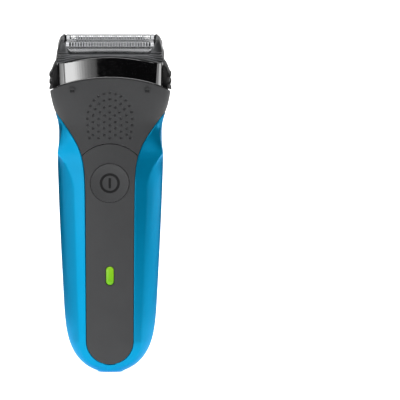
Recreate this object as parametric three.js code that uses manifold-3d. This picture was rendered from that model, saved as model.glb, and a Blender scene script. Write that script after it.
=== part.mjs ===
// A hand-held electric foil shaver with a floating foil head, standing on its charging end.
// Millimetres, +Z up, the front faces -Y, and the origin is under the middle of the whole shaver.

import * as THREE from 'three';
import { mergeVertices } from 'three/addons/utils/BufferGeometryUtils.js';
import Module from 'manifold-3d';

const wasm = await Module();
wasm.setup();

// ---------------------------------------------------------------- driving dimensions

const GAP = 0.3; // clearance left between neighbouring pieces
const WALL = 2; // wall of the body shells
const DEPTH_SHIFT = 0.98; // moves the shaver along Y so that its box is centred on the origin

const BASE_HALF_WIDTH = 5.6; // the small flat that the shaver stands on
const LOWER_HEIGHT = 40.2; // height over which the body rounds in to its lower end
const LOWER_HALF_WIDTH = 20.4;
const LOWER_TAPER = 0.054; // half-width gained per mm of height
const SHELL_TOP = 124.4; // where the coloured shell runs out into its side points
const SIDE_Y = -2; // the widest line of the body, and the parting line of the neck

const PANEL_RADIUS = 11.25; // round lower end of the front panel
const PANEL_CENTRE_Z = 15;
const SEAM_RADIUS = 18.3; // arc seam between the control panel and the grip panel
const BUTTON_Z = 89.9;
const BUTTON_RADIUS = 9.1;
const BUTTON_TRAVEL = 0.8;
const LIGHT_Z = 45.9;
const LIGHT_SIZE = { width: 3.9, height: 9 };
const NECK_TOP_Z = 139.6; // top edge of the grip panels on the centre line
const NECK_ARC_DROP = 4.2; // and how far it falls at NECK_ARC_HALF from the centre
const NECK_ARC_HALF = 25;

const HEAD_TILT = 19; // degrees that the head leans forward
const HEAD_ORIGIN = new THREE.Vector3(0, -4.5, 144.6);
const FRAME_HALF_WIDTH = 25.3;
const FRAME_TOP = 9.6; // arched top edge of the head frame, on the centre line
const FRAME_TOP_DROP = 4.1;
const FRAME_TOP_HALF = 24.8;
const DECK = { bottom: -0.2, top: 1 };
const FOIL_OFFSET = 5.7; // each foil's distance from the middle of the head
const FOIL_RADIUS = 3.2;
const FOIL_CENTRE = 12.1; // height of the foil's arch centre in the head
const FOIL_HALF_LENGTH = 21.3;
const CUTTER_STROKE = 1.2;

const CELL = { radius: 7.1, length: 49, x: 7.4, y: 4.5, bottom: 24 };
const BOARD = { front: -8.6, back: -7, bottom: 27, top: 106, half: 13.5 };
const INLET = { width: 9.4, depth: 6.8, height: 11, bore: [7.4, 4.8], boreDepth: 9, pinX: 1.9 };

// ---------------------------------------------------------------- materials

const material = (color, roughness, metalness = 0) =>
  new THREE.MeshStandardMaterial({ color, roughness, metalness });

const FINISH = {
  blue: material('#0a86b8', 0.3),
  grip: material('#46474a', 0.75),
  gloss: material('#0b0a0c', 0.08),
  cassette: material('#55575b', 0.45, 0.4),
  foil: material('#c3c5c8', 0.28, 1),
  steel: material('#9a9da1', 0.32, 1),
  brass: material('#b5a26a', 0.35, 1),
  inner: material('#2b2c2e', 0.6),
  board: material('#1f5a3a', 0.55),
  cell: material('#3d7f4d', 0.4),
  rubber: material('#1a1a1b', 0.85),
  light: material('#84cc10', 0.25),
};

// ---------------------------------------------------------------- solids from three.js geometry

function solid(geometry) {
  const plain = geometry.clone();
  plain.deleteAttribute('normal');
  plain.deleteAttribute('uv');
  const merged = mergeVertices(plain, 1e-4);
  return new wasm.Manifold(
    new wasm.Mesh({
      numProp: 3,
      vertProperties: new Float32Array(merged.attributes.position.array),
      triVerts: new Uint32Array(merged.index.array),
    }),
  );
}

function geometryOf(body) {
  const data = body.getMesh();
  const geometry = new THREE.BufferGeometry();
  geometry.setAttribute('position', new THREE.BufferAttribute(data.vertProperties, 3));
  geometry.setIndex(new THREE.BufferAttribute(data.triVerts, 1));
  return geometry;
}

const join = (...bodies) => bodies.reduce((sum, next) => sum.add(next));
const cut = (body, ...tools) => tools.reduce((left, tool) => left.subtract(tool), body);

function block([x0, x1], [y0, y1], [z0, z1]) {
  const box = new THREE.BoxGeometry(x1 - x0, y1 - y0, z1 - z0);
  return solid(box.translate((x0 + x1) / 2, (y0 + y1) / 2, (z0 + z1) / 2));
}

// A rod along 'x', 'y' or 'z' from low to high; at gives its centre on the other two axes.
function rod(axis, radius, [low, high], at, sides = 20) {
  const shape = new THREE.CylinderGeometry(radius, radius, high - low, sides);
  const middle = (low + high) / 2;
  if (axis === 'x') shape.rotateZ(-Math.PI / 2).translate(middle, at[0], at[1]);
  if (axis === 'y') shape.translate(at[0], middle, at[1]);
  if (axis === 'z') shape.rotateX(Math.PI / 2).translate(at[0], at[1], middle);
  return solid(shape);
}

function shapeOf(points) {
  return new THREE.Shape(points.map(([a, b]) => new THREE.Vector2(a, b)));
}

const straight = (depth) => ({ depth, steps: 1, bevelEnabled: false });

// Outlines pushed along one axis: (x, z) along Y, (y, z) along X, and (x, y) along Z.
function alongY(points, [y0, y1]) {
  const pushed = new THREE.ExtrudeGeometry(shapeOf(points), straight(y1 - y0));
  return solid(pushed.rotateX(Math.PI / 2).translate(0, y1, 0));
}

function alongX(points, [x0, x1]) {
  const pushed = new THREE.ExtrudeGeometry(shapeOf(points), straight(x1 - x0));
  return solid(pushed.rotateX(Math.PI / 2).rotateZ(Math.PI / 2).translate(x0, 0, 0));
}

function alongZ(points, [z0, z1]) {
  const pushed = new THREE.ExtrudeGeometry(shapeOf(points), straight(z1 - z0));
  return solid(pushed.translate(0, 0, z0));
}

// A closed solid skinned over rings of equally many [x, y, z] points, lowest ring first.
function skin(rings) {
  const count = rings[0].length;
  const points = rings.flat();
  const faces = [];
  for (let level = 0; level < rings.length - 1; level += 1) {
    for (let i = 0; i < count; i += 1) {
      const next = (i + 1) % count;
      const a = level * count + i;
      const b = level * count + next;
      faces.push([a, b, b + count], [a, b + count, a + count]);
    }
  }
  const middle = (ring) => [0, 1, 2].map((k) => ring.reduce((sum, p) => sum + p[k], 0) / count);
  const last = (rings.length - 1) * count;
  points.push(middle(rings[0]), middle(rings.at(-1)));
  for (let i = 0; i < count; i += 1) {
    const next = (i + 1) % count;
    faces.push([points.length - 2, next, i], [points.length - 1, last + i, last + next]);
  }
  const geometry = new THREE.BufferGeometry();
  geometry.setAttribute('position', new THREE.Float32BufferAttribute(points.flat(), 3));
  geometry.setIndex(faces.flat());
  return solid(geometry);
}

const range = (from, to, count) =>
  Array.from({ length: count + 1 }, (_, i) => from + ((to - from) * i) / count);

// The interval from a to b on the left (side -1) or the right (side 1) of the shaver.
const sided = (side, a, b) => [Math.min(side * a, side * b), Math.max(side * a, side * b)];

const mirrored = (half) => [...half, ...half.map(([a, b]) => [-a, b]).reverse()];

function roundedRectangle(halfX, halfY, radius, steps = 4) {
  const corners = [[1, 1, 0], [-1, 1, 90], [-1, -1, 180], [1, -1, 270]];
  return corners.flatMap(([sx, sy, start]) =>
    range(start, start + 90, steps).map((degrees) => {
      const angle = THREE.MathUtils.degToRad(degrees);
      return [
        sx * (halfX - radius) + radius * Math.cos(angle),
        sy * (halfY - radius) + radius * Math.sin(angle),
      ];
    }),
  );
}

// ---------------------------------------------------------------- body form

// A curve through key points that doesn't overshoot between them.
function curveThrough(keys) {
  const slopes = keys.slice(1).map(([x, y], i) => (y - keys[i][1]) / (x - keys[i][0]));
  const tangents = keys.map((_, i) => {
    if (i === 0) return slopes[0];
    if (i === keys.length - 1) return slopes.at(-1);
    const [before, after] = [slopes[i - 1], slopes[i]];
    return before * after <= 0 ? 0 : (2 * before * after) / (before + after);
  });
  return (x) => {
    if (x <= keys[0][0]) return keys[0][1];
    if (x >= keys.at(-1)[0]) return keys.at(-1)[1];
    const i = keys.findIndex(([end]) => end > x) - 1;
    const width = keys[i + 1][0] - keys[i][0];
    const t = (x - keys[i][0]) / width;
    const [h00, h10] = [(1 + 2 * t) * (1 - t) ** 2, t * (1 - t) ** 2];
    const [h01, h11] = [t * t * (3 - 2 * t), t * t * (t - 1)];
    return (
      h00 * keys[i][1] + h01 * keys[i + 1][1] +
      width * (h10 * tangents[i] + h11 * tangents[i + 1])
    );
  };
}

const lowerRound = (z) => Math.sqrt(1 - Math.max(0, 1 - (z + 0.4) / LOWER_HEIGHT) ** 4);

const upperHalfWidth = curveThrough([
  [40, 22.56], [60, 23.6], [80, 24.5], [92, 24.95], [101, 25.25], [104.6, 25.3], [107.6, 24.9],
  [111, 24.65], [115, 24.6], [119, 25], [122.8, 26], [128.5, 27.7], [134.2, 28.75], [141, 29.2],
]);

function halfWidth(z) {
  if (z >= 40) return upperHalfWidth(z);
  const round = LOWER_HALF_WIDTH * lowerRound(z) + LOWER_TAPER * z;
  return Math.max(BASE_HALF_WIDTH + 1.4 * Math.min(z, 1), round);
}

const upperFront = curveThrough([
  [40, 15.8], [90, 16.2], [110, 15.3], [125, 16.6], [139.6, 19.2], [152, 21.6],
]);
const upperBack = curveThrough([
  [40, 17], [65, 17.8], [90, 18.2], [110, 17.5], [125, 15.6], [139.6, 11.7], [152, 7.8],
]);
const lowerFront = curveThrough([
  [0, 10.4], [0.6, 12.4], [1.3, 13.5], [3.75, 14.75], [8, 15.2], [15, 15.55], [40, 15.8],
]);
const frontDepth = (z) => (z >= 40 ? upperFront(z) : lowerFront(z));
const backDepth = (z) => (z >= 40 ? upperBack(z) : 8.4 + 7.6 * lowerRound(z) + 0.025 * z);

// Half-width of the front panel: a round end, near-straight sides, then a flare into the neck.
function panelHalf(z) {
  if (z < PANEL_CENTRE_Z) {
    return Math.sqrt(Math.max(0, PANEL_RADIUS ** 2 - (PANEL_CENTRE_Z - z) ** 2));
  }
  const flare = 4 * Math.log(1 + Math.exp((z - 106) / 5));
  return PANEL_RADIUS + 0.0067 * (z - PANEL_CENTRE_Z) + flare;
}

const FRONT_PANEL = { half: panelHalf, radius: PANEL_RADIUS, centre: PANEL_CENTRE_Z };
const REAR_PANEL = {
  half: (z) => REAR_PANEL.radius + 4 * Math.log(1 + Math.exp((z - 107.2) / 5)),
  radius: 12.5,
  centre: 44,
};

// Half-width of the crease on the coloured shell, which swings out to the shoulder and back.
const upperCrease = curveThrough([
  [15.5, 14.6], [34, 15.4], [67, 16.5], [80, 17], [87, 17.2], [92, 18.2], [97, 20.4],
  [102, 23.4], [104.6, 25.1], [110, 24.1], [118, 22.4],
]);
const creaseHalf = (z) =>
  z >= 15.5 ? upperCrease(z) : 14.6 * Math.sqrt(Math.max(0, 1 - ((15.5 - z) / 14.3) ** 2));

const smoothStep = (low, high, value) => THREE.MathUtils.smoothstep(value, low, high);
const sideY = (z) => SIDE_Y - 2 * smoothStep(112, 140, z);

// One level of the body: front crown, inner facet, outer facet, then a round back.
function bodyOutline(z) {
  const a = halfWidth(z);
  const front = frontDepth(z);
  const side = sideY(z);
  const w = THREE.MathUtils.clamp(panelHalf(z), 0.12 * a, 0.8 * a);
  const r = THREE.MathUtils.clamp(creaseHalf(z), Math.max(w + 0.06 * a, 0.45 * a), 0.985 * a);
  const yPanel = -front + 0.8 * (w / 12) ** 2;
  const yCrease = yPanel + 0.5 * (z < 15 ? Math.min(r - w, 3.3) : r - w);
  const corner = 0.2 + 0.3 * smoothStep(1, 20, z);
  const creased = [
    ...[0, 0.5, 1].map((t) => [w * t, -front + (yPanel + front) * t * t]),
    ...[0.5, 1].map((t) => [w + (r - w) * t, yPanel + (yCrease - yPanel) * t]),
  ];
  for (const t of [0.35, 0.7, 1]) {
    const [c0, c1, c2] = [(1 - t) ** 2, 2 * t * (1 - t), t * t];
    const x = c0 * r + c1 * (a - 0.4 * corner * (a - r)) + c2 * a;
    creased.push([x, c0 * yCrease + c1 * (yCrease + (side - yCrease) * corner) + c2 * side]);
  }
  const toSmooth = smoothStep(104.5, 121, z);
  const power = 2.5 + 1.3 * smoothStep(116, 138, z);
  const frontHalf = creased.map(([x, y]) => {
    const round = side - (side + front) * Math.max(0, 1 - (x / a) ** power) ** (1 / power);
    return [x, y + (round - y) * toSmooth];
  });
  const backHalf = [16, 32, 48, 62, 76, 90].map((degrees) => {
    const angle = THREE.MathUtils.degToRad(degrees);
    return [
      degrees === 90 ? 0 : a * Math.cos(angle) ** (2 / power),
      side + (backDepth(z) - side) * Math.sin(angle) ** (2 / power),
    ];
  });
  const right = [...frontHalf, ...backHalf];
  return [...right, ...right.slice(1, -1).reverse().map(([x, y]) => [-x, y])];
}

const BODY_LEVELS = [
  0, 0.6, 1.5, 3, 5, 8, 11.5, 15.5, 22, 32, 48, 64, 78, 88, 95, 100, 104.5, 109, 114, 119, 124,
  130, 136, 142,
];

const bodyForm = () =>
  skin(BODY_LEVELS.map((z) => bodyOutline(z).map(([x, y]) => [x, y, z])));

// The hollow: each level is the outline a wall's thickness lower down, drawn in by the wall,
// and it closes in under the neck's shoulders.
function bodyHollow() {
  const rise = 1.1 * WALL;
  return skin(
    BODY_LEVELS.slice(1).map((z) => {
      const outline = bodyOutline(z - 0.6);
      const a = halfWidth(z - 0.6);
      const neckLimit = 40 - 16.7 * smoothStep(124, 131, z + rise);
      const scaleX = Math.min(a - WALL, neckLimit) / a;
      const [front, back] = [frontDepth(z - 0.6), backDepth(z - 0.6)];
      const middle = (back - front) / 2;
      const scaleY = 1 - (2 * WALL) / (front + back);
      return outline.map(([x, y]) => [x * scaleX, middle + (y - middle) * scaleY, z + rise]);
    }),
  );
}

const neckArc = (x) => NECK_TOP_Z - NECK_ARC_DROP * (x / NECK_ARC_HALF) ** 2;

// The (x, z) outline of a panel with a round lower end, grown by a margin.
function panelOutline({ half, radius, centre }, margin, top) {
  const end = range(-86, -8, 8).map((degrees) => {
    const angle = THREE.MathUtils.degToRad(degrees);
    return [(radius + margin) * Math.cos(angle), centre + (radius + margin) * Math.sin(angle)];
  });
  const heights = [centre, 40, 65, 88, 96, 102, 107, 112, 117, 121, 127];
  const sides = heights.filter((z) => z >= centre).map((z) => [half(z) + margin, z]);
  return mirrored([...end, ...sides, ...top]);
}

const seamHeight = (x) => BUTTON_Z + 0.4 + Math.sqrt(SEAM_RADIUS ** 2 - x ** 2);

const seamArc = (half, margin) => range(half, 0, 7).map((x) => [x, seamHeight(x) + margin]);

const neckTop = (margin) => range(31, 0, 7).map((x) => [x, neckArc(x) + margin]);

// ---------------------------------------------------------------- scene graph

const shaver = new THREE.Group();
shaver.position.y = DEPTH_SHIFT;
const head = new THREE.Group();
head.position.copy(HEAD_ORIGIN);
head.rotation.x = THREE.MathUtils.degToRad(HEAD_TILT);
shaver.add(head);

function place(name, body, finish, parent = shaver) {
  const mesh = new THREE.Mesh(geometryOf(body), finish);
  mesh.name = name;
  parent.add(mesh);
}

// ---------------------------------------------------------------- casing

function makeCasing() {
  const walls = cut(bodyForm(), bodyHollow());
  const half = GAP / 2;
  const far = 60;
  const above = [[40, 127], [40, 160]];

  const frontOpening = alongY(
    panelOutline(FRONT_PANEL, half, above), [-far, SIDE_Y + half]);
  const rearOpening = alongY(
    panelOutline(REAR_PANEL, half, above), [SIDE_Y - half, far]);
  const overShell = block([-far, far], [-far, far], [SHELL_TOP - 0.2, 200]);
  const inletHole = alongZ(roundedRectangle(5, 3.7, 2.4), [-1, 12]);
  place('blue_shell', cut(walls, frontOpening, rearOpening, overShell, inletHole), FINISH.blue);

  const frontPanel = alongY(
    panelOutline(FRONT_PANEL, -half, [[40, 127], ...neckTop(0)]),
    [-far, SIDE_Y - half]);
  const seamHalf = 14;
  const seamEnd = seamHeight(seamHalf);
  const overSeam = alongY(
    mirrored([...seamArc(seamHalf, half).reverse(), [40, seamEnd], [40, 160], [0, 160]]),
    [-far, far]);
  const underSeam = alongY(
    mirrored([[40, -5], [40, seamEnd - GAP], ...seamArc(seamHalf, -half)]), [-far, far]);
  const front = walls.intersect(frontPanel);
  place('front_grip_panel', front.intersect(overSeam), FINISH.grip);

  const buttonHole = rod('y', BUTTON_RADIUS + GAP, [-40, 0], [0, BUTTON_Z], 36);
  const lightHole = alongY(
    roundedRectangle(LIGHT_SIZE.width / 2 + half, LIGHT_SIZE.height / 2 + half, 2.05, 5)
      .map(([x, z]) => [x, z + LIGHT_Z]), [-40, 0]);
  place('front_control_panel', cut(front.intersect(underSeam), buttonHole, lightHole), FINISH.grip);

  const rearPanel = alongY(
    panelOutline(REAR_PANEL, -half, [[40, 127], ...neckTop(0)]),
    [SIDE_Y + half, far]);
  place('rear_grip_panel', walls.intersect(rearPanel), FINISH.grip);
}

// ---------------------------------------------------------------- power button and charge light

function makeControls() {
  const face = -frontDepth(BUTTON_Z);
  const cap = rod('y', BUTTON_RADIUS, [face, face + 2.2], [0, BUTTON_Z], 36);
  const dome = rod('y', BUTTON_RADIUS - 1, [face - 0.2, face + 1], [0, BUTTON_Z], 36);
  const flange = rod('y', BUTTON_RADIUS + 1.2, [face + 3, face + 3.6], [0, BUTTON_Z], 30);
  const collar = rod('y', BUTTON_RADIUS - 0.5, [face + 1, face + 3.3], [0, BUTTON_Z], 30);
  place('power_button', join(cap, dome, flange, collar), FINISH.grip);

  const ring = rod('y', 12, [face + 3.4, face + 4.4], [0, BUTTON_Z], 30);
  const ringHole = rod('y', 10.7, [face, face + 6], [0, BUTTON_Z], 30);
  place('button_seal_ring', cut(ring, ringHole), FINISH.rubber);

  const plungerTip = face + 3.6 + BUTTON_TRAVEL + GAP;
  const switchBody = block([-3, 3], [plungerTip + 0.7, BOARD.front - GAP], [BUTTON_Z - 3, BUTTON_Z + 3]);
  const plunger = rod('y', 1.6, [plungerTip, plungerTip + 1], [0, BUTTON_Z], 16);
  place('tact_switch', join(switchBody, plunger), FINISH.inner);

  const window = roundedRectangle((LIGHT_SIZE.width - GAP) / 2, (LIGHT_SIZE.height - GAP) / 2, 1.75, 5);
  const lensFace = -frontDepth(LIGHT_Z);
  const lens = alongY(window.map(([x, z]) => [x, z + LIGHT_Z]), [lensFace, lensFace + 4]);
  place('light_lens', lens, FINISH.light);
  const diode = block(
    [-1.6, 1.6], [BOARD.front - 1.6, BOARD.front - GAP], [LIGHT_Z - 1.6, LIGHT_Z + 1.6]);
  place('light_diode', diode, FINISH.light);
}

// ---------------------------------------------------------------- screws

// A pan-head screw pointing down -Z from its head, with its head resting at z = 0.
function screw(headRadius, shankRadius, length) {
  const profile = [[0, -length], [shankRadius, -length + 0.5], [shankRadius, 0], [headRadius, 0],
    [headRadius, 0.6], [headRadius * 0.7, 1], [0, 1]];
  return new THREE.LatheGeometry(profile.map(([r, z]) => new THREE.Vector2(r, z)), 12)
    .rotateX(Math.PI / 2);
}

function placeScrew(name, geometry, position, turn, parent) {
  const mesh = new THREE.Mesh(geometry, FINISH.steel);
  mesh.name = name;
  mesh.position.set(...position);
  mesh.rotation.x = turn;
  parent.add(mesh);
}

// ---------------------------------------------------------------- inside the body

const BOARD_SCREWS = { upper: 101, lower: 32 };

function makeInside() {
  const boardHoles = Object.values(BOARD_SCREWS).map((z) => rod('y', 1.2, [-30, 0], [0, z], 16));
  const top = CELL.bottom + CELL.length;
  const plate = block([-15, 15], [-6.4, -4.4], [CELL.bottom - 2.4, 106]);
  const shelves = [CELL.bottom - 2.4, top + 0.4].map((z) =>
    block([-14.2, 14.2], [-5, 7.5], [z, z + 2]));
  const cheeks = [-1, 1].flatMap((s) => [
    block(sided(s, 15, 16.4), [-6.4, 3], [CELL.bottom + 4, top - 4]),
    block(sided(s, 14.7, 15.3), [-6.4, -4.4], [CELL.bottom + 4, top - 4]),
  ]);
  place('inner_chassis', cut(join(plate, ...shelves, ...cheeks), ...boardHoles), FINISH.inner);

  const board = block([-BOARD.half, BOARD.half], [BOARD.front, BOARD.back], [BOARD.bottom, BOARD.top]);
  place('circuit_board', cut(board, ...boardHoles), FINISH.board);

  for (const [side, x] of [['left', -CELL.x], ['right', CELL.x]]) {
    const can = rod('z', CELL.radius, [CELL.bottom, top - 1.2], [x, CELL.y], 24);
    const tip = rod('z', 2.6, [top - 2, top], [x, CELL.y], 16);
    place(`battery_cell_${side}`, join(can, tip), FINISH.cell);
  }

  const capacitor = rod('z', 3.6, [80, 92], [7, 0.4], 18);
  place('smoothing_capacitor', capacitor, FINISH.inner);
  const coil = rod('y', 4.4, [-4, 1], [-6, 86], 20);
  const coilBore = rod('y', 1.6, [-6, 3], [-6, 86], 12);
  place('charging_coil', cut(coil, coilBore), FINISH.brass);

  for (const [name, z] of Object.entries(BOARD_SCREWS)) {
    placeScrew(`board_screw_${name}`, screw(2, 0.9, 4), [0, BOARD.front - GAP, z], Math.PI / 2, shaver);
  }
}

function makeInlet() {
  const { width, depth, height, bore, boreDepth, pinX } = INLET;
  const body = alongZ(roundedRectangle(width / 2, depth / 2, 2.2), [0, height]);
  const flange = alongZ(roundedRectangle(width / 2 + 2, depth / 2 + 2, 3), [height - 3, height]);
  const recess = alongZ(roundedRectangle(bore[0] / 2, bore[1] / 2, 2.3, 5), [-1, boreDepth]);
  const pinHoles = [-pinX, pinX].map((x) => rod('z', 1.05, [0, 20], [x, 0], 12));
  place('charging_socket', cut(join(body, flange), recess, ...pinHoles), FINISH.inner);
  for (const [side, x] of [['left', -pinX], ['right', pinX]]) {
    place(`contact_pin_${side}`, rod('z', 0.75, [4.7, 16], [x, 0], 12), FINISH.steel);
  }
  const seal = alongZ(roundedRectangle(6.8, 5.5, 2.8), [height - 4.7, height - 3 - GAP]);
  const sealHole = alongZ(roundedRectangle(width / 2 + GAP, depth / 2 + GAP, 2.4), [0, height]);
  place('socket_seal', cut(seal, sealHole), FINISH.rubber);
}

// ---------------------------------------------------------------- head frame (head coordinates)

const frameFront = curveThrough([[-13, 14.9], [-8, 18.1], [-3, 16.45], [0, 15.5], [5, 14], [11, 12.3]]);
const frameBack = curveThrough([[-13, 13.8], [0, 13.8], [5, 13.5], [11, 12.9]]);

function frameOutline(h, inset) {
  const a = FRAME_HALF_WIDTH - inset;
  return range(0, 345, 23).map((degrees) => {
    const angle = THREE.MathUtils.degToRad(degrees + 7.5);
    const [c, s] = [Math.cos(angle), Math.sin(angle)];
    const depth = (s < 0 ? frameFront(h) : frameBack(h)) - inset;
    return [
      a * Math.sign(c) * Math.abs(c) ** 0.5,
      depth * Math.sign(s) * Math.abs(s) ** 0.5,
      h,
    ];
  });
}

const frameForm = (levels, inset) => skin(levels.map((h) => frameOutline(h, inset)));
const frameTop = (x) => FRAME_TOP - FRAME_TOP_DROP * (x / FRAME_TOP_HALF) ** 2;

// Moves a solid made in body coordinates into head coordinates.
function inHead(body) {
  head.updateMatrix();
  return solid(geometryOf(body).applyMatrix4(head.matrix.clone().invert()));
}

const LATCH = { pad: [-11.5, 3.4], half: 6, floor: 23.4, stem: -3.2, stemRadius: 1, travel: 1.2 };
const MOUNT_BOSSES = [[-17.8, -7.6], [17.8, -7.6], [-17.8, 7.6], [17.8, 7.6]];
const PIN_RADIUS = 1;

// Everything higher than a line that runs the given distance above the neck's edge.
function overNeck(margin) {
  const upperLimit = [[40, 133], [40, 190], [0, 190]];
  return inHead(alongY(mirrored([...neckTop(margin).reverse(), ...upperLimit]), [-60, 60]));
}

function makeHeadFrame() {
  const outer = frameForm([-13, -8, -3, 0, 3, 6, 11], 0).intersect(overNeck(GAP));
  const spigotTop = inHead(alongY(mirrored([[40, 100], ...neckTop(2)]), [-60, 60]));
  const spigot = frameForm([-18, 3], 3.2).intersect(spigotTop).intersect(overNeck(-3.5));
  const underTop = alongY(
    mirrored([[40, -40], ...range(30, 0, 8).map((x) => [x, frameTop(x)])]), [-60, 60]);
  const upperBay = alongZ(roundedRectangle(22, 11.7, 3), [DECK.top, 20]);
  const lowerBay = alongZ(roundedRectangle(20.2, 10.2, 3), [-30, DECK.bottom]);
  const pinHoles = [[0, -FOIL_OFFSET, 2.6], [0, FOIL_OFFSET, 2.6], [0, 0, 2.4]]
    .map(([x, v, radius]) => rod('z', radius, [-5, 5], [x, v], 18));
  const [padLow, padHigh] = LATCH.pad;
  const pocketHalf = LATCH.half + GAP;
  const sides = [-1, 1].flatMap((s) => [
    block(sided(s, LATCH.floor, 40), [-pocketHalf, pocketHalf], [padLow - GAP, padHigh + GAP]),
    rod('x', LATCH.stemRadius + GAP, sided(s, 15, 30), [0, LATCH.stem], 16),
    block(sided(s, 15.8, 19.3), [-2.4, 2.4], [-2, 5]),
  ]);
  const shoulders = [-1, 1].map((s) => alongY(
    [[24, -13], [27.6, -13], [27.6, -8], [27.2, -5], [26.2, -2.5], [25.2, -0.5], [24, 0]]
      .map(([x, h]) => [s * x, h]),
    [pocketHalf, pocketHalf + 2.2]).intersect(overNeck(GAP)));
  const frame = cut(
    join(outer, spigot, ...shoulders).intersect(underTop), upperBay, lowerBay, ...pinHoles, ...sides);
  const bosses = MOUNT_BOSSES.map(([x, v]) => rod('z', 2.1, [-5.9, DECK.bottom + 0.4], [x, v], 16));
  const bossHoles = MOUNT_BOSSES.map(([x, v]) => rod('z', 1.1, [-8, -1.2], [x, v], 12));
  place('head_frame', cut(join(frame, ...bosses), ...bossHoles), FINISH.gloss, head);
}

// ---------------------------------------------------------------- head release buttons

function makeRelease(side, s) {
  const [low, high] = LATCH.pad;
  const ribs = [-9.5, -6, -2.5].flatMap((h) => [[29.2, h], [28.4, h + 0.6]]);
  const crest = [[28.1, -0.9], [27.2, 1.5], [26.2, 3], [25.7, high], [25.2, high]];
  const outline = [[25.2, low], [28.2, low], [28.5, -10.2], ...ribs, ...crest].map(([x, h]) => [s * x, h]);
  // The neck's edge rises inwards, so the pad clears it by more than the gap.
  const clearance = GAP + 0.37 * LATCH.travel;
  const pad = alongY(outline, [-LATCH.half, LATCH.half]).intersect(overNeck(clearance));
  const well = rod('x', 2.5, sided(s, 24, 27), [0, LATCH.stem], 18);
  const stem = rod('x', LATCH.stemRadius, sided(s, 19.3, 28), [0, LATCH.stem], 16);
  place(`release_button_${side}`, join(cut(pad, well), stem), FINISH.inner, head);

  const arm = block(sided(s, 17.8, 18.9), [-2, 2], [-5, 3.6]);
  const nose = block(sided(s, 18.5, 19.1), [-2, 2], [2.8, 3.6]);
  place(`release_latch_${side}`, join(arm, nose), FINISH.inner, head);

  const spring = helix('x', [s * (LATCH.floor + 0.2), s * 26.8], 1.85, 0.3, [0, LATCH.stem]);
  place(`release_spring_${side}`, spring, FINISH.steel, head);
}

// A closed coil spring along an axis.
function helix(axis, [from, to], radius, wire, at) {
  const turns = 3;
  const steps = turns * 9;
  const sign = Math.sign(to - from);
  const ends = wire * sign;
  const points = range(0, 1, steps).map((t) => {
    const angle = t * turns * 2 * Math.PI;
    const along = from + ends + (to - from - 2 * ends) * t;
    const [p, q] = [radius * Math.cos(angle), radius * Math.sin(angle)];
    if (axis === 'x') return new THREE.Vector3(along, at[0] + p, at[1] + q);
    return new THREE.Vector3(at[0] + p, at[1] + q, along);
  });
  const section = new THREE.Shape(range(0, 4, 4).map((i) => {
    const angle = (i * 2 * Math.PI) / 5;
    return new THREE.Vector2(wire * Math.cos(angle), wire * Math.sin(angle));
  }));
  const path = new THREE.CatmullRomCurve3(points);
  return solid(new THREE.ExtrudeGeometry(section, { steps, bevelEnabled: false, extrudePath: path }));
}

// ---------------------------------------------------------------- foil cassette (head coordinates)

function makeCassette() {
  const ends = [[26.3, 4], [26.3, 5.4], [26.05, 7], [25.5, 8.8], [25.2, 10], [24.85, 11.4], [24.2, 13.5],
    [23.7, 14.8], [23.3, 15.3], [22.6, 15.7]];
  const across = alongY(mirrored(ends), [-20, 20]);
  const dome = [[12.7, 0], [12.7, 9.3], [12.4, 10.6], [11.5, 12.2], [10, 13.8], [8.4, 15], [7, 15.7]];
  const along = alongX(mirrored(dome), [-30, 30]);
  const plan = alongZ(roundedRectangle(26.3, 12.7, 5.5), [0, 20]);
  const overFrame = alongY(
    mirrored([...range(0, 30, 8).map((x) => [x, frameTop(x) + GAP]), [30, 40], [0, 40]]), [-60, 60]);
  const crown = across.intersect(along).intersect(plan).intersect(overFrame);
  const insert = alongZ(roundedRectangle(21.6, 11.3, 2.7), [DECK.top + 0.4, 10]);
  const window = alongY(mirrored([[19, 10.6], [22, 16], [22, 30]]), [-20, 20]);
  const foilBay = block([-21.7, 21.7], [-9.5, 9.5], [7.1, 30]);
  const wideBay = block([-20.9, 20.9], [-9.5, 9.5], [4, 30]);
  const lowBay = block([-19.4, 19.4], [-8.3, 8.3], [-5, 5]);
  const notches = [-1, 1].map((s) =>
    block(sided(s, 18, 20.9), [-2.4, 2.4], [2.4, 5]));
  place('cassette_frame', cut(join(crown, insert), window, foilBay, wideBay, lowBay, ...notches),
    FINISH.cassette, head);
}

// The (v, h) outline of an arch of the given radius on straight legs.
function archOutline(centreV, radius, foot, steps) {
  const arc = range(0, 180, steps).map((degrees) => {
    const angle = THREE.MathUtils.degToRad(degrees);
    return [centreV + radius * Math.cos(angle), FOIL_CENTRE + radius * Math.sin(angle)];
  });
  return [[centreV + radius, foot], ...arc, [centreV - radius, foot]];
}

function makeFoilUnit(side, v) {
  const foot = 8.8;
  const shell = alongX(archOutline(v, FOIL_RADIUS, foot, 12), [-FOIL_HALF_LENGTH, FOIL_HALF_LENGTH]);
  const inside = alongX(archOutline(v, FOIL_RADIUS - 0.3, foot - 1, 12), [-30, 30]);
  place(`${side}_foil`, cut(shell, inside), FINISH.foil, head);

  const rail = block([-20.4, 20.4], [v - 3.4, v + 3.4], [6, foot - GAP]);
  const heel = alongX(archOutline(v, FOIL_RADIUS - 0.6, 7, 8), [-20.4, 20.4]);
  const opening = block([-18.9, 18.9], [v - 2.5, v + 2.5], [5, 20]);
  const clearArch = block([-18.9, 18.9], [v - 5, v + 5], [foot - GAP, 20]);
  place(`${side}_foil_carrier`, cut(join(rail, heel), opening, clearArch), FINISH.inner, head);

  const blades = alongX(archOutline(v, FOIL_RADIUS - 0.65, 9.5, 10), [-16.4, 16.4]);
  const spine = block([-16.4, 16.4], [v - 2.1, v + 2.1], [6.8, 10]);
  const socket = rod('z', PIN_RADIUS + GAP, [5, 10.6], [0, v], 14);
  place(`${side}_cutter_block`, cut(join(blades, spine), socket), FINISH.steel, head);
}

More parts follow.
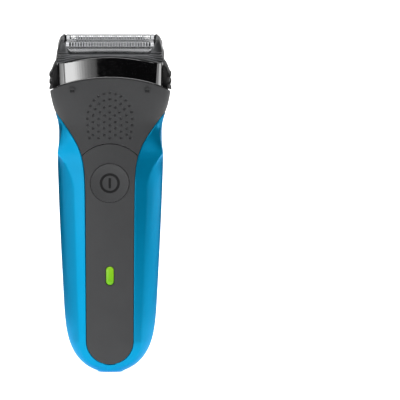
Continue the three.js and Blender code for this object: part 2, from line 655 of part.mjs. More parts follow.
function makeTrimmer() {
  const comb = block([-20.4, 20.4], [-1.5, 1.5], [8.5, 14.4]);
  const channel = block([-17.6, 17.6], [-1.1, 1.1], [5, 13.9]);
  const feet = [-1, 1].map((s) =>
    block(sided(s, 17.6, 20.4), [-1.5, 1.5], [6, 12]));
  place('middle_trimmer_comb', cut(join(comb, ...feet), channel), FINISH.foil, head);

  const blade = block([-16, 16], [-0.7, 0.7], [7.8, 13.5]);
  const hub = block([-2.6, 2.6], [-1.8, 1.8], [4.5, 8.1]);
  const socket = rod('z', 1.15, [4, 7.6], [0, 0], 14);
  place('middle_trimmer_blade', cut(join(blade, hub), socket), FINISH.steel, head);
}

// ---------------------------------------------------------------- drive (head coordinates)

const MOTOR = { halfX: 10, halfV: 7.6, top: -8, bottom: -33 };

function makeDrive() {
  const bar = block([-14, 14], [-8, 8], [-4.5, -2.5]);
  const lightened = [-1, 1].map((s) =>
    block(sided(s, 6, 12.5), [-5, 5], [-6, 0]));
  const trimmerPost = rod('z', 0.8, [-3, 6], [0, 0], 14);
  const crankPocket = block([-3.8, 3.8], [-2.6, 2.6], [-6, -3.2]);
  const pinSeats = [-1, 1].map((s) => rod('z', PIN_RADIUS + GAP, [-3.6, 0], [0, s * FOIL_OFFSET], 14));
  const bridge = cut(join(bar, trimmerPost), ...lightened, crankPocket, ...pinSeats);
  place('drive_bridge', bridge, FINISH.inner, head);

  for (const [side, v] of [['front', -FOIL_OFFSET], ['rear', FOIL_OFFSET]]) {
    const pin = rod('z', PIN_RADIUS, [-3.3, 8.4], [0, v], 14);
    const collar = rod('z', 1.9, [2.3, 2.9], [0, v], 14);
    place(`drive_pin_${side}`, join(pin, collar), FINISH.steel, head);
    place(`cutter_spring_${side}`, helix('z', [3.1, 6.6], 1.7, 0.25, [0, v]), FINISH.steel, head);
    const boot = rod('z', 3.3, [-1.5, DECK.bottom - GAP], [0, v], 18);
    place(`seal_boot_${side}`, cut(boot, rod('z', 2.5, [-3, 1], [0, v], 18)), FINISH.rubber, head);
  }

  const can = alongZ(roundedRectangle(MOTOR.halfX, MOTOR.halfV, 5), [MOTOR.bottom, MOTOR.top]);
  const shaftBore = rod('z', 1.3, [-18, 0], [0, 0], 14);
  const screwBores = [-6.5, 6.5].map((x) => rod('z', 1.1, [-12, 0], [x, 0], 12));
  place('motor_can', cut(can, shaftBore, ...screwBores), FINISH.steel, head);

  const mountPlate = alongZ(roundedRectangle(19.9, 9.9, 2.9), [MOTOR.top + GAP, MOTOR.top + 1.8]);
  const mountHoles = [rod('z', 4, [-12, 0], [0, 0], 20),
    ...[-6.5, 6.5].map((x) => rod('z', 1.1, [-12, 0], [x, 0], 12)),
    ...MOUNT_BOSSES.map(([x, v]) => rod('z', 1.2, [-12, 0], [x, v], 12))];
  place('motor_mount', cut(mountPlate, ...mountHoles), FINISH.inner, head);

  place('motor_shaft', rod('z', 1, [-17.5, -5.9], [0, 0], 14), FINISH.steel, head);
  const hub = rod('z', 3.2, [-7.4, -5.2], [0, 0], 20);
  const hubBore = rod('z', 1.3, [-9, -5.6], [0, 0], 14);
  const crank = rod('z', 1, [-5.3, -3.6], [CUTTER_STROKE, 0], 14);
  place('crank_hub', join(cut(hub, hubBore), crank), FINISH.inner, head);

  for (const [side, x] of [['left', -6.5], ['right', 6.5]]) {
    placeScrew(`motor_screw_${side}`, screw(1.5, 0.8, 4.6), [x, 0, MOTOR.top + 1.8 + GAP], 0, head);
  }
  MOUNT_BOSSES.forEach(([x, v], i) => {
    placeScrew(`mount_screw_${i + 1}`, screw(2, 0.8, 5), [x, v, MOTOR.top], Math.PI, head);
  });
}

// ---------------------------------------------------------------- assembly

makeCasing();
makeControls();
makeInside();
makeInlet();
makeHeadFrame();
makeRelease('left', -1);
makeRelease('right', 1);
makeCassette();
makeFoilUnit('front', -FOIL_OFFSET);
makeFoilUnit('rear', FOIL_OFFSET);
makeTrimmer();
makeDrive();

export default shaver;
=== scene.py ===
"""The looks of an electric foil shaver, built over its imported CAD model.

Lengths below are millimetres unless a name says otherwise. Body coordinates are the CAD model's own;
head coordinates are x, v (towards the back) and h (up the head), turned about X by HEAD_TILT.
"""

import math

import bmesh
import bpy
import numpy as np
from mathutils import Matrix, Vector


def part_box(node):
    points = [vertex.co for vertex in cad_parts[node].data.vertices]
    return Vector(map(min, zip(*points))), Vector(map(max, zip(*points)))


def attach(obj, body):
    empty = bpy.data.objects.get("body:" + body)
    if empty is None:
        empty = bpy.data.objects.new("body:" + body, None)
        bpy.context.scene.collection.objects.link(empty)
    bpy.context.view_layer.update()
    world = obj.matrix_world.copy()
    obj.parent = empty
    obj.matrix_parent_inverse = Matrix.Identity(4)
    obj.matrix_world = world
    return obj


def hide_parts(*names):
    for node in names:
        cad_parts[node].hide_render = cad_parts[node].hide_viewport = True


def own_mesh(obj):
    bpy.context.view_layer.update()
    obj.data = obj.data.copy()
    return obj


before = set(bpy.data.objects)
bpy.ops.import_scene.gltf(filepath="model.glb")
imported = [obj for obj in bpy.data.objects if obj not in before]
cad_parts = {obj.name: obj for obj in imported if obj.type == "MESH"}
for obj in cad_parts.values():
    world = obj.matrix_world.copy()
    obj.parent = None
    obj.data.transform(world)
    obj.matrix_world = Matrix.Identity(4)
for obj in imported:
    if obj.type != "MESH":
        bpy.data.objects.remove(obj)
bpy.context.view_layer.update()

# ---------------------------------------------------------------- driving dimensions

MM = 0.001
GAP = 0.3  # seam between neighbouring outer pieces
ROLL = 0.4  # rounding of the shells' edges
SMOOTH_ANGLE = 35  # edges that turn by more degrees than this stay sharp
SHELL_WALL = 1.5
LEAST_WALL = 0.35  # what a shell keeps under its deepest relief

SIDE_Y = -2.0  # the body's widest line, where the front meets the back
SHELL_TOP = 124.2
PANEL_RADIUS = 11.25
PANEL_CENTRE_Z = 15.0
REAR_RADIUS = 12.5
REAR_CENTRE_Z = 44.0
SEAM_RADIUS = 18.3
SEAM_CENTRE_Z = 90.3
BUTTON_Z = 89.9
BUTTON_RADIUS = 9.1
BUTTON_DISH = 1.05  # how much lower the cap's middle lies than its edge
SIGN_RADIUS = 4.15  # of the power sign's ring
SIGN_BAR = 2.0  # half length of its bar's straight part
SIGN_LINE = 0.5  # half width of its lines
SIGN_DEPTH = 0.3
LIGHT_Z = 45.9
LIGHT_HALF = (1.8, 4.35)  # half width and half height
NECK_TOP_Z = 139.6
NECK_SAG = 4.2  # fall of the neck's upper edge by x = 25
DIMPLE_CENTRE_Z = 120.5

HEAD_TILT = math.radians(19)
HEAD_ORIGIN = (0.0, -4.5, 144.6)
FRAME_HALF_WIDTH = 25.3
FRAME_TOP = 9.6
FRAME_SAG = 4.1  # fall of the frame's top edge by x = 24.8
DECK = (-0.2, 1.0)  # under and upper side of the head's floor
FOIL_OFFSET = 5.7  # of each foil's centre from the head's middle
FOIL_RADIUS = 3.2
FOIL_CENTRE = 12.1  # h of the arch's centre
FOIL_FOOT = 8.8  # h of the straight legs' lower edge
FOIL_HALF_LENGTH = 20.85
FOIL_THICKNESS = 0.14
FOIL_PITCH = 1.3  # of the holes and slots along the foil
FOIL_SMOOTH_ANGLE = 50
FOIL_MARGIN = 1.6  # plain sheet beyond the holes at each end
CUTTER_HALF_LENGTH = 16.4


def pin_centre_y():
    """The CAD model's own shift along Y, read from a contact pin, which stands at y = 0 in the body."""
    low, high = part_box("contact_pin_left")
    return (low.y + high.y) / 2 / MM


SHIFT_Y = pin_centre_y()


# ---------------------------------------------------------------- curves and outlines

def smooth_step(low, high, value):
    """0 at low and 1 at high, with a smooth change between them and level beyond."""
    t = np.clip((value - low) / (high - low), 0, 1)
    return t * t * (3 - 2 * t)


def smooth_max(a, b, blend):
    return (a + b + np.sqrt((a - b) ** 2 + blend**2)) / 2


def curve_through(*keys):
    """A smooth curve through key points that doesn't overshoot between them."""
    x, y = np.array(keys, float).T
    slopes = np.diff(y) / np.diff(x)
    before, after = slopes[:-1], slopes[1:]
    same_way = before * after > 0
    total = np.where(same_way, before + after, 1)
    tangents = np.concatenate([slopes[:1], np.where(same_way, 2 * before * after / total, 0), slopes[-1:]])

    def at(value):
        value = np.clip(value, x[0], x[-1])
        i = np.clip(np.searchsorted(x, value, side="right") - 1, 0, len(x) - 2)
        width = x[i + 1] - x[i]
        t = (value - x[i]) / width
        ends = (1 + 2 * t) * (1 - t) ** 2 * y[i] + t * t * (3 - 2 * t) * y[i + 1]
        return ends + width * (t * (1 - t) ** 2 * tangents[i] + t * t * (t - 1) * tangents[i + 1])

    return at


upper_half_width = curve_through(
    (40, 22.56), (60, 23.6), (80, 24.5), (92, 24.95), (101, 25.25), (104.6, 25.3), (107.6, 24.9),
    (111, 24.65), (115, 24.6), (119, 25), (122.8, 26), (128.5, 27.7), (134.2, 28.75), (141, 29.2))
front_depth = curve_through(
    (0, 10.4), (0.6, 12.4), (1.3, 13.5), (3.75, 14.75), (8, 15.2), (15, 15.55), (40, 15.8), (90, 16.2),
    (110, 15.3), (125, 16.6), (139.6, 19.2), (152, 21.6))
upper_back = curve_through(
    (40, 17), (65, 17.8), (90, 18.2), (110, 17.5), (125, 15.6), (139.6, 11.7), (152, 7.8))
upper_crease = curve_through(
    (15.5, 14.6), (34, 15.4), (67, 16.5), (80, 17), (87, 17.2), (92, 18.2), (97, 20.4), (102, 23.4),
    (104.6, 25.1), (110, 24.1), (118, 22.4))


def lower_round(z):
    return np.sqrt(1 - np.clip(1 - (z + 0.4) / 40.2, 0, None) ** 4)


def half_width(z):
    lower = np.maximum(5.6 + 1.4 * np.minimum(z, 1), 20.4 * lower_round(z) + 0.054 * z)
    return np.where(z >= 40, upper_half_width(z), lower)


def back_depth(z):
    return np.where(z >= 40, upper_back(z), 8.4 + 7.6 * lower_round(z) + 0.025 * z)


FLARE = 4  # the panels' widening at the neck, and the length over which it sets in
FLARE_RUN = 5
FRONT_FLARE_Z = 106
REAR_FLARE_Z = 107.2


def flare(z, start):
    return FLARE * np.log1p(np.exp((z - start) / FLARE_RUN))


def front_panel_half(z):
    below = np.sqrt(np.clip(PANEL_RADIUS**2 - (PANEL_CENTRE_Z - z) ** 2, 0, None))
    above = PANEL_RADIUS + 0.0067 * (z - PANEL_CENTRE_Z) + flare(z, FRONT_FLARE_Z)
    return np.where(z < PANEL_CENTRE_Z, below, above)


def rear_panel_half(z):
    return REAR_RADIUS + flare(z, REAR_FLARE_Z)


def crease_half(z):
    below = 14.6 * np.sqrt(np.clip(1 - ((15.5 - z) / 14.3) ** 2, 0, None))
    return np.where(z >= 15.5, upper_crease(z), below)


def neck_arc(x):
    return NECK_TOP_Z - NECK_SAG * (x / 25) ** 2


def frame_top(x):
    return FRAME_TOP - FRAME_SAG * (x / 24.8) ** 2


def signed_power(value, power):
    return np.sign(value) * np.abs(value) ** power


def body_outline(s, z):
    """A point of the body's level z. |s| runs from 0 on the front's centre line over the crown (to 1), the
    inner facet (2), the outer facet (3) and round the back (4); its sign is the side."""
    side, t = np.sign(s), np.abs(s)
    a, front, back = half_width(z), front_depth(z), back_depth(z)
    side_y = SIDE_Y - 2 * smooth_step(112, 140, z)
    w = np.clip(front_panel_half(z), 0.12 * a, 0.8 * a)
    r = np.clip(crease_half(z), np.maximum(w + 0.06 * a, 0.45 * a), 0.985 * a)
    y_panel = -front + 0.8 * (w / 12) ** 2
    y_crease = y_panel + 0.5 * np.where(z < 15, np.minimum(r - w, 3.3), r - w)
    corner = 0.2 + 0.3 * smooth_step(1, 20, z)

    crown = np.clip(t, 0, 1)
    inner = np.clip(t - 1, 0, 1)
    outer = np.clip(t - 2, 0, 1)
    c0, c1, c2 = (1 - outer) ** 2, 2 * outer * (1 - outer), outer**2
    x = np.where(t <= 1, w * crown, w + (r - w) * inner)
    y = np.where(t <= 1, -front + (y_panel + front) * crown**2, y_panel + (y_crease - y_panel) * inner)
    x = np.where(t <= 2, x, c0 * r + c1 * (a - 0.4 * corner * (a - r)) + c2 * a)
    y = np.where(t <= 2, y, c0 * y_crease + c1 * (y_crease + (side_y - y_crease) * corner) + c2 * side_y)

    power = 2.5 + 1.3 * smooth_step(116, 138, z)
    shoulder = side_y - (side_y + front) * np.clip(1 - (np.clip(x / a, 0, 1)) ** power, 0, 1) ** (1 / power)
    y = y + (shoulder - y) * smooth_step(104.5, 121, z)
    angle = np.clip(t - 3, 0, 1) * math.pi / 2
    x = np.where(t <= 3, x, a * np.clip(np.cos(angle), 0, 1) ** (2 / power))
    y = np.where(t <= 3, y, side_y + (back - side_y) * np.clip(np.sin(angle), 0, 1) ** (2 / power))
    return np.stack([np.where(t < 1e-9, 0, side * x), y, z + 0 * x], -1)


SOLE = 4.0  # rows from zero down to minus this run in under the base, to the socket's hole
SOCKET_HOLE = (5.0, 3.7)  # half width and half depth


def body_point(s, z):
    s = np.mod(s + 4, 8) - 4
    ring = body_outline(s, np.maximum(z, 0))
    reach = (np.abs(ring[..., 0]) / SOCKET_HOLE[0]) ** 3 + (np.abs(ring[..., 1]) / SOCKET_HOLE[1]) ** 3
    inward = np.clip(-z / SOLE, 0, 1)
    shrink = 1 - inward * (1 - reach ** (-1 / 3))
    return np.stack([ring[..., 0] * shrink, ring[..., 1] * shrink, ring[..., 2]], -1)


def panel_margin(x, z, half, radius, centre_z, flare_start):
    """How far a point lies inside a panel with straight sides that flare, and a round lower end."""
    slope = FLARE / FLARE_RUN / (1 + np.exp((flare_start - z) / FLARE_RUN))
    beside = (half - np.abs(x)) / np.sqrt(1 + slope**2)
    return np.where(z < centre_z, radius - np.hypot(x, z - centre_z), beside)


def front_panel_margin(x, z):
    return panel_margin(x, z, front_panel_half(z), PANEL_RADIUS, PANEL_CENTRE_Z, FRONT_FLARE_Z)


def rear_panel_margin(x, z):
    return panel_margin(x, z, rear_panel_half(z), REAR_RADIUS, REAR_CENTRE_Z, REAR_FLARE_Z)


def capsule_distance(x, z, radius, half_straight):
    return np.hypot(x, np.clip(np.abs(z) - half_straight, 0, None)) - radius


# ---------------------------------------------------------------- mesh helpers

def in_body(points):
    """Body coordinates to metres in the frame."""
    return (np.asarray(points, float) + (0, SHIFT_Y, 0)) * MM


def in_head(points):
    """Head coordinates to metres in the frame."""
    x, v, h = np.moveaxis(np.asarray(points, float), -1, 0)
    cos, sin = math.cos(HEAD_TILT), math.sin(HEAD_TILT)
    turned = np.stack([x, v * cos - h * sin, v * sin + h * cos], -1)
    return in_body(turned + HEAD_ORIGIN)


def placed(name, data):
    """A new object in the scene that holds a mesh, camera or light."""
    piece = bpy.data.objects.new(name, data)
    bpy.context.scene.collection.objects.link(piece)
    return piece


def shaded(mesh, sharp=SMOOTH_ANGLE):
    mesh.shade_smooth()
    mesh.set_sharp_from_angle(angle=math.radians(sharp))
    return mesh


def evaluated_mesh(piece):
    """The mesh that a piece's modifiers make."""
    bpy.context.view_layer.update()
    return bpy.data.meshes.new_from_object(piece.evaluated_get(bpy.context.evaluated_depsgraph_get()))


def mesh_piece(name, points, faces, slots, face_slots=None, sharp=SMOOTH_ANGLE):
    """A mesh whose faces take one of the slots' materials: the first, or face_slots' number for each."""
    mesh = bpy.data.meshes.new(name)
    mesh.from_pydata([tuple(p) for p in points], [], [tuple(int(i) for i in f) for f in faces])
    for slot in slots:
        mesh.materials.append(MATERIALS[slot])
    if face_slots is not None:
        mesh.polygons.foreach_set("material_index", np.asarray(face_slots, np.int32))
    mesh.update()
    return placed(name, shaded(mesh, sharp))


def joined(name, pieces):
    """Several mesh pieces as one object that keeps their materials."""
    mesh = bpy.data.meshes.new(name)
    bm = bmesh.new()
    materials = []
    for piece in pieces:
        first = len(bm.faces)
        bm.from_mesh(piece.data)
        bm.faces.ensure_lookup_table()
        own = list(piece.data.materials)
        for material in own:
            if material not in materials:
                materials.append(material)
        for face in bm.faces[first:]:
            face.material_index = materials.index(own[face.material_index])
        bpy.data.objects.remove(piece)
    bm.to_mesh(mesh)
    bm.free()
    for material in materials:
        mesh.materials.append(material)
    return placed(name, shaded(mesh))


def finished(piece, body, node):
    """Puts a piece on its body and replaces a CAD node with it."""
    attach(piece, body)
    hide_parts(node)


ROLL_LEVELS = (0, 0.06, 0.2, 0.5, 1)  # where a rolled edge is divided, in parts of its depth
TRIM = 1e-4  # taken off a shell's edge, so that it never passes through a grid point


def clipped_shell(name, point, columns, rows, margin, transform, slot, relief=None, roll=ROLL,
                  wall=SHELL_WALL):
    """A shell over a surface, cut off where the margin runs out, with rolled edges and a true wall.

    point(columns, rows) gives the surface, margin(x, y, z) each point's distance inside the edge, and
    relief(x, y, z) how far the surface stands out."""
    column_grid, row_grid = np.meshgrid(columns, rows)
    inside = margin(*np.moveaxis(point(column_grid, row_grid), -1, 0))
    bm = bmesh.new()
    corners = [[bm.verts.new((c, r, inside[r, c])) for c in range(len(columns))] for r in range(len(rows))]
    for r in range(len(rows) - 1):
        for c in range(len(columns) - 1):
            if inside[r:r + 2, c:c + 2].max() > 0:
                bm.faces.new((corners[r][c], corners[r][c + 1], corners[r + 1][c + 1], corners[r + 1][c]))
    bmesh.ops.delete(bm, geom=[v for v in bm.verts if not v.link_faces], context="VERTS")
    for level in ROLL_LEVELS:
        bmesh.ops.bisect_plane(
            bm, geom=bm.verts[:] + bm.edges[:] + bm.faces[:], dist=1e-5,
            plane_co=(0, 0, level * roll + TRIM), plane_no=(0, 0, 1), clear_inner=level == 0)
    bm.verts.index_update()
    place = np.array([v.co for v in bm.verts])
    faces = [[v.index for v in f.verts] for f in bm.faces]
    bm.free()

    s = np.interp(place[:, 0], range(len(columns)), columns)
    z = np.interp(place[:, 1], range(len(rows)), rows)
    surface = point(s, z)
    along = point(s + 0.01, z) - point(s - 0.01, z)
    upward = point(s, z + 0.02) - point(s, z - 0.02)
    normal = np.cross(along, upward)
    normal /= np.maximum(np.linalg.norm(normal, axis=1, keepdims=True), 1e-12)
    depth = np.clip(place[:, 2] - TRIM, 0, roll)
    drop = roll - np.sqrt(roll**2 - (roll - depth) ** 2)
    raised = relief(*surface.T) if relief else np.zeros(len(surface))
    outer = surface + normal * (raised - drop)[:, None]
    inner = surface + normal * np.minimum(-wall, raised - LEAST_WALL)[:, None]

    _, first, order = np.unique(np.round(surface, 4), axis=0, return_index=True, return_inverse=True)
    outer, inner = outer[first], inner[first]
    kept = []
    for face in faces:
        ring = [int(order.reshape(-1)[i]) for i in face]
        ring = [a for a, b in zip(ring, ring[1:] + ring[:1]) if a != b]
        if len(ring) > 2:
            kept.append(ring)
    edges = {(a, b) for ring in kept for a, b in zip(ring, ring[1:] + ring[:1])}
    count = len(outer)
    rims = [[b, a, a + count, b + count] for a, b in edges if (b, a) not in edges]
    backs = [[i + count for i in reversed(ring)] for ring in kept]
    points = transform(np.concatenate([outer, inner]))
    return mesh_piece(name, points, kept + backs + rims, [slot])


def skinned(rings):
    """Points and faces of a closed solid over rings of equally many points."""
    rings = np.asarray(rings, float)
    levels, count = rings.shape[:2]
    faces = []
    for level in range(levels - 1):
        for i in range(count):
            a, b = level * count + i, level * count + (i + 1) % count
            faces.append([a, b, b + count, a + count])
    faces.append(list(range(count))[::-1])
    faces.append([(levels - 1) * count + i for i in range(count)])
    return rings.reshape(-1, 3), faces


def prism(outline, low, high, axis):
    """Points and faces of an outline pushed along an axis.

    The outline is (v, h) along x, (x, h) along v and (x, v) along h."""
    outline = np.asarray(outline, float)
    area = np.sum(outline[:, 0] * np.roll(outline[:, 1], -1) - np.roll(outline[:, 0], -1) * outline[:, 1])
    if (area < 0) != (axis == "v"):
        outline = outline[::-1]
    return skinned([np.insert(outline, "xvh".index(axis), level, axis=1) for level in (low, high)])


def rounded_rectangle(half_x, half_y, radius, steps=8):
    points = []
    for sx, sy, start in ((1, 1, 0), (-1, 1, 90), (-1, -1, 180), (1, -1, 270)):
        for angle in np.radians(np.linspace(start, start + 90, steps + 1)):
            points.append((
                sx * (half_x - radius) + radius * math.cos(angle),
                sy * (half_y - radius) + radius * math.sin(angle)))
    return points


def circle(x, y, radius, count=32):
    return [(x + radius * math.cos(a), y + radius * math.sin(a))
            for a in np.linspace(0, 2 * math.pi, count, endpoint=False)]


def carved(name, solid, cutters, slot, keep=()):
    """A solid in head coordinates, cut by others and limited to the ones in keep."""
    def temporary(shape, label):
        points, faces = shape
        return mesh_piece(label, in_head(points), faces, [slot])

    piece = temporary(solid, name + "_solid")
    tools = [(temporary(shape, name + "_tool"), "INTERSECT") for shape in keep]
    tools += [(temporary(shape, name + "_tool"), "DIFFERENCE") for shape in cutters]
    for tool, operation in tools:
        modifier = piece.modifiers.new("cut", "BOOLEAN")
        modifier.operation = operation
        modifier.solver = "EXACT"
        modifier.object = tool
    mesh = evaluated_mesh(piece)
    for tool, _ in tools:
        bpy.data.objects.remove(tool)
    bpy.data.objects.remove(piece)
    bm = bmesh.new()
    bm.from_mesh(mesh)
    bmesh.ops.remove_doubles(bm, verts=bm.verts, dist=2e-6)
    bm.to_mesh(mesh)
    bm.free()
    return placed(name, shaded(mesh))


# ---------------------------------------------------------------- materials

class Nodes:
    """A material's node tree with a Principled shader, built a node at a time."""

    def __init__(self, name):
        self.material = bpy.data.materials.new(name)
        self.material.use_nodes = True
        self.tree = self.material.node_tree
        self.shader = self.tree.nodes["Principled BSDF"]
        self.place = self.add("ShaderNodeTexCoord").outputs["Object"]

    def add(self, kind, **settings):
        node = self.tree.nodes.new(kind)
        for key, value in settings.items():
            setattr(node, key, value)
        return node

    def link(self, output, target):
        self.tree.links.new(output, target)

    def axis(self, name):
        """The place's own X, Y or Z."""
        split = self.add("ShaderNodeSeparateXYZ")
        self.link(self.place, split.inputs["Vector"])
        return split.outputs[name]

    def math(self, operation, *values):
        """A sum of outputs and plain numbers, by one of the Math node's operations."""
        node = self.add("ShaderNodeMath", operation=operation)
        for socket, value in zip(node.inputs, values):
            if isinstance(value, (int, float)):
                socket.default_value = value
            else:
                self.link(value, socket)
        return node.outputs[0]

    def colour(self, output):
        self.link(output, self.shader.inputs["Base Color"])

    def noise(self, scale, detail=3, stretch=None):
        node = self.add("ShaderNodeTexNoise")
        node.inputs["Scale"].default_value = scale
        node.inputs["Detail"].default_value = detail
        if stretch:
            mapping = self.add("ShaderNodeMapping")
            mapping.inputs["Scale"].default_value = stretch
            self.link(self.place, mapping.inputs["Vector"])
            self.link(mapping.outputs["Vector"], node.inputs["Vector"])
        else:
            self.link(self.place, node.inputs["Vector"])
        return node.outputs["Fac"]

    def spread(self, value, low, high, start=0.3, end=0.7):
        node = self.add("ShaderNodeMapRange")
        node.inputs["From Min"].default_value = start
        node.inputs["From Max"].default_value = end
        node.inputs["To Min"].default_value = low
        node.inputs["To Max"].default_value = high
        self.link(value, node.inputs["Value"])
        return node.outputs["Result"]

    def mix(self, factor, first, second):
        node = self.add("ShaderNodeMix", data_type="RGBA")
        self.link(factor, node.inputs["Factor"])
        for socket, colour in ((node.inputs[6], first), (node.inputs[7], second)):
            if isinstance(colour, tuple):
                socket.default_value = (*colour, 1)
            else:
                self.link(colour, socket)
        return node.outputs[2]

    def set(self, **values):
        for key, value in values.items():
            self.shader.inputs[key.replace("_", " ")].default_value = value

    def bump(self, height, distance, strength=1.0, edge=0.0):
        node = self.add("ShaderNodeBump")
        node.inputs["Strength"].default_value = strength
        node.inputs["Distance"].default_value = distance
        self.link(height, node.inputs["Height"])
        if edge:
            bevel = self.add("ShaderNodeBevel", samples=6)
            bevel.inputs["Radius"].default_value = edge
            self.link(bevel.outputs["Normal"], node.inputs["Normal"])
        self.link(node.outputs["Normal"], self.shader.inputs["Normal"])


def toned(colour, factor):
    return tuple(min(1.0, c * factor) for c in colour)


def plain_finish(name, colour, roughness, vary=0.1, grain=1500, relief=6e-6, patch=90, spread=0.06,
                 edge=0.0, stretch=None, **settings):
    """A moulded or ground surface: mottled colour, uneven gloss and a fine grain."""
    nodes = Nodes(name)
    patches = nodes.noise(patch, 4, stretch)
    nodes.colour(nodes.mix(patches, toned(colour, 1 - vary), toned(colour, 1 + vary)))
    fine = nodes.noise(grain, 2, stretch)
    nodes.link(nodes.spread(fine, roughness - spread, roughness + spread), nodes.shader.inputs["Roughness"])
    nodes.bump(fine, relief, edge=edge)
    nodes.set(**settings)
    return nodes


def soft_grip_finish(name, colour, roughness):
    """Soft-touch rubber: a fine pebble under a faint bloom."""
    nodes = plain_finish(name, colour, roughness, vary=0.12, grain=2600, relief=1.6e-5, spread=0.05)
    nodes.set(Sheen_Weight=0.12, Sheen_Roughness=0.5, Specular_IOR_Level=0.35)
    return nodes.material


def cassette_grey_with_painted_shade():
    """Satin grey, darkened by painted shade down among the lamellae and out on the ends."""
    grey = (0.112, 0.115, 0.12)
    nodes = plain_finish(
        "cassette_grey", grey, 0.36, vary=0.08, grain=2200, relief=3e-6, edge=0.0002, Metallic=0.5)
    # Painted shade: darker low down among the lamellae and out towards the ends.
    low = nodes.spread(nodes.axis("Z"), 1.0, 0.0, 0.1462, 0.1505)
    painted_end_shade = nodes.spread(nodes.math("ABSOLUTE", nodes.axis("X")), 0.0, 0.8, 0.0185, 0.023)
    nodes.colour(nodes.mix(nodes.math("MAXIMUM", low, painted_end_shade), grey, toned(grey, 0.4)))
    return nodes.material


def light_glow_with_painted_highlight():
    """A clear green light pipe that glows, its glow paler towards its upper end as a painted highlight."""
    nodes = plain_finish(
        "light_green", (0.1, 0.34, 0.0), 0.2, vary=0.08, grain=900, relief=1e-6, Specular_IOR_Level=0.3)
    # The glow's pale upper end is a painted highlight; the green glow itself is the charge light's own.
    upward = nodes.spread(nodes.axis("Z"), 0.0, 1.0, (LIGHT_Z - 4) * MM, (LIGHT_Z + 4.4) * MM)
    glow_with_painted_highlight = nodes.mix(upward, (0.22, 0.55, 0.0), (0.75, 1.0, 0.1))
    nodes.link(glow_with_painted_highlight, nodes.shader.inputs["Emission Color"])
    nodes.set(Emission_Strength=0.22)
    return nodes.material


def steel_finish(name, colour, roughness, stretch=(1, 14, 14)):
    nodes = plain_finish(
        name, colour, roughness, vary=0.12, grain=900, relief=2e-6, patch=300, spread=0.07, stretch=stretch,
        Metallic=1.0)
    return nodes.material


def board_finish():
    """Solder mask with copper tracks just showing through."""
    nodes = plain_finish("board_green", (0.012, 0.085, 0.036), 0.35, vary=0.1, grain=1800, relief=3e-6)
    tracks = nodes.add("ShaderNodeTexBrick")
    tracks.inputs["Scale"].default_value = 260
    tracks.inputs["Mortar Size"].default_value = 0.06
    tracks.inputs["Color1"].default_value = (0.012, 0.085, 0.036, 1)
    tracks.inputs["Color2"].default_value = (0.016, 0.1, 0.042, 1)
    tracks.inputs["Mortar"].default_value = (0.05, 0.2, 0.07, 1)
    nodes.link(nodes.place, tracks.inputs["Vector"])
    nodes.colour(tracks.outputs["Color"])
    return nodes.material


def winding_finish():
    """Enamelled wire in close turns."""
    nodes = plain_finish("brass", (0.46, 0.3, 0.1), 0.3, vary=0.15, Metallic=1.0)
    turns = nodes.add("ShaderNodeTexWave", wave_type="BANDS", bands_direction="Y")
    turns.inputs["Scale"].default_value = 900
    nodes.link(nodes.place, turns.inputs["Vector"])
    nodes.bump(turns.outputs["Fac"], 6e-5)
    return nodes.material


MATERIALS = {
    # Moulded blue with a faint pearl in it.
    "blue_plastic": plain_finish(
        "blue_plastic", (0.0, 0.25, 0.47), 0.36, vary=0.05, grain=5200, relief=1.2e-6, patch=60,
        spread=0.04, Metallic=0.92, Coat_Weight=0.1, Coat_Roughness=0.15,
        Specular_Tint=(0.2, 0.7, 1, 1)).material,
    "soft_grip": soft_grip_finish("soft_grip", (0.031, 0.0315, 0.033), 0.58),
    "control_grey": soft_grip_finish("control_grey", (0.0345, 0.035, 0.0365), 0.5),
    "gloss_black": plain_finish(
        "gloss_black", (0.0008, 0.0007, 0.0009), 0.05, vary=0.2, grain=420, relief=4e-7, spread=0.02,
        edge=0.00015, IOR=2.4).material,
    "cassette_grey": cassette_grey_with_painted_shade(),
    "foil_steel": steel_finish("foil_steel", (0.36, 0.365, 0.375), 0.28),
    "blade_steel": steel_finish("blade_steel", (0.2, 0.205, 0.215), 0.34, (14, 1, 14)),
    "spring_steel": steel_finish("spring_steel", (0.42, 0.43, 0.45), 0.25),
    "inner_plastic": plain_finish(
        "inner_plastic", (0.009, 0.009, 0.0095), 0.42, vary=0.15, grain=1300, relief=8e-6, edge=0.00015,
        Specular_IOR_Level=0.17).material,
    "board_green": board_finish(),
    # Shrink wrap, with long faint creases.
    "cell_wrap": plain_finish(
        "cell_wrap", (0.035, 0.18, 0.06), 0.32, vary=0.08, grain=260, relief=3e-5,
        stretch=(1, 1, 0.12)).material,
    "brass": winding_finish(),
    "seal_rubber": plain_finish(
        "seal_rubber", (0.012, 0.012, 0.013), 0.75, vary=0.2, grain=1900, relief=1.5e-5).material,
    "light_green": light_glow_with_painted_highlight(),
    # Near black, used as painted shade in the power sign's groove and under the nubs.
    "icon_dark": plain_finish(
        "icon_dark", (0.006, 0.006, 0.0065), 0.7, vary=0.1, grain=2400, relief=8e-6,
        Specular_IOR_Level=0.25).material,
}


# ---------------------------------------------------------------- camera, stage and lights

FRAME_WIDTH = 190.4  # width of the view at FRAME_PLANE_Y
FRAME_CENTRE = (42.8, 81.9)  # x and z at the middle of the view
FRAME_PLANE_Y = -9
LENS = 400
SENSOR = 36


def make_camera():
    camera = placed("camera", bpy.data.cameras.new("camera"))
    camera.data.lens = LENS
    camera.data.sensor_width = SENSOR
    distance = FRAME_WIDTH * LENS / SENSOR
    camera.location = (FRAME_CENTRE[0] * MM, (FRAME_PLANE_Y - distance) * MM, FRAME_CENTRE[1] * MM)
    camera.rotation_euler = (math.pi / 2, 0, 0)
    camera.data.clip_end = 20
    bpy.context.scene.camera = camera


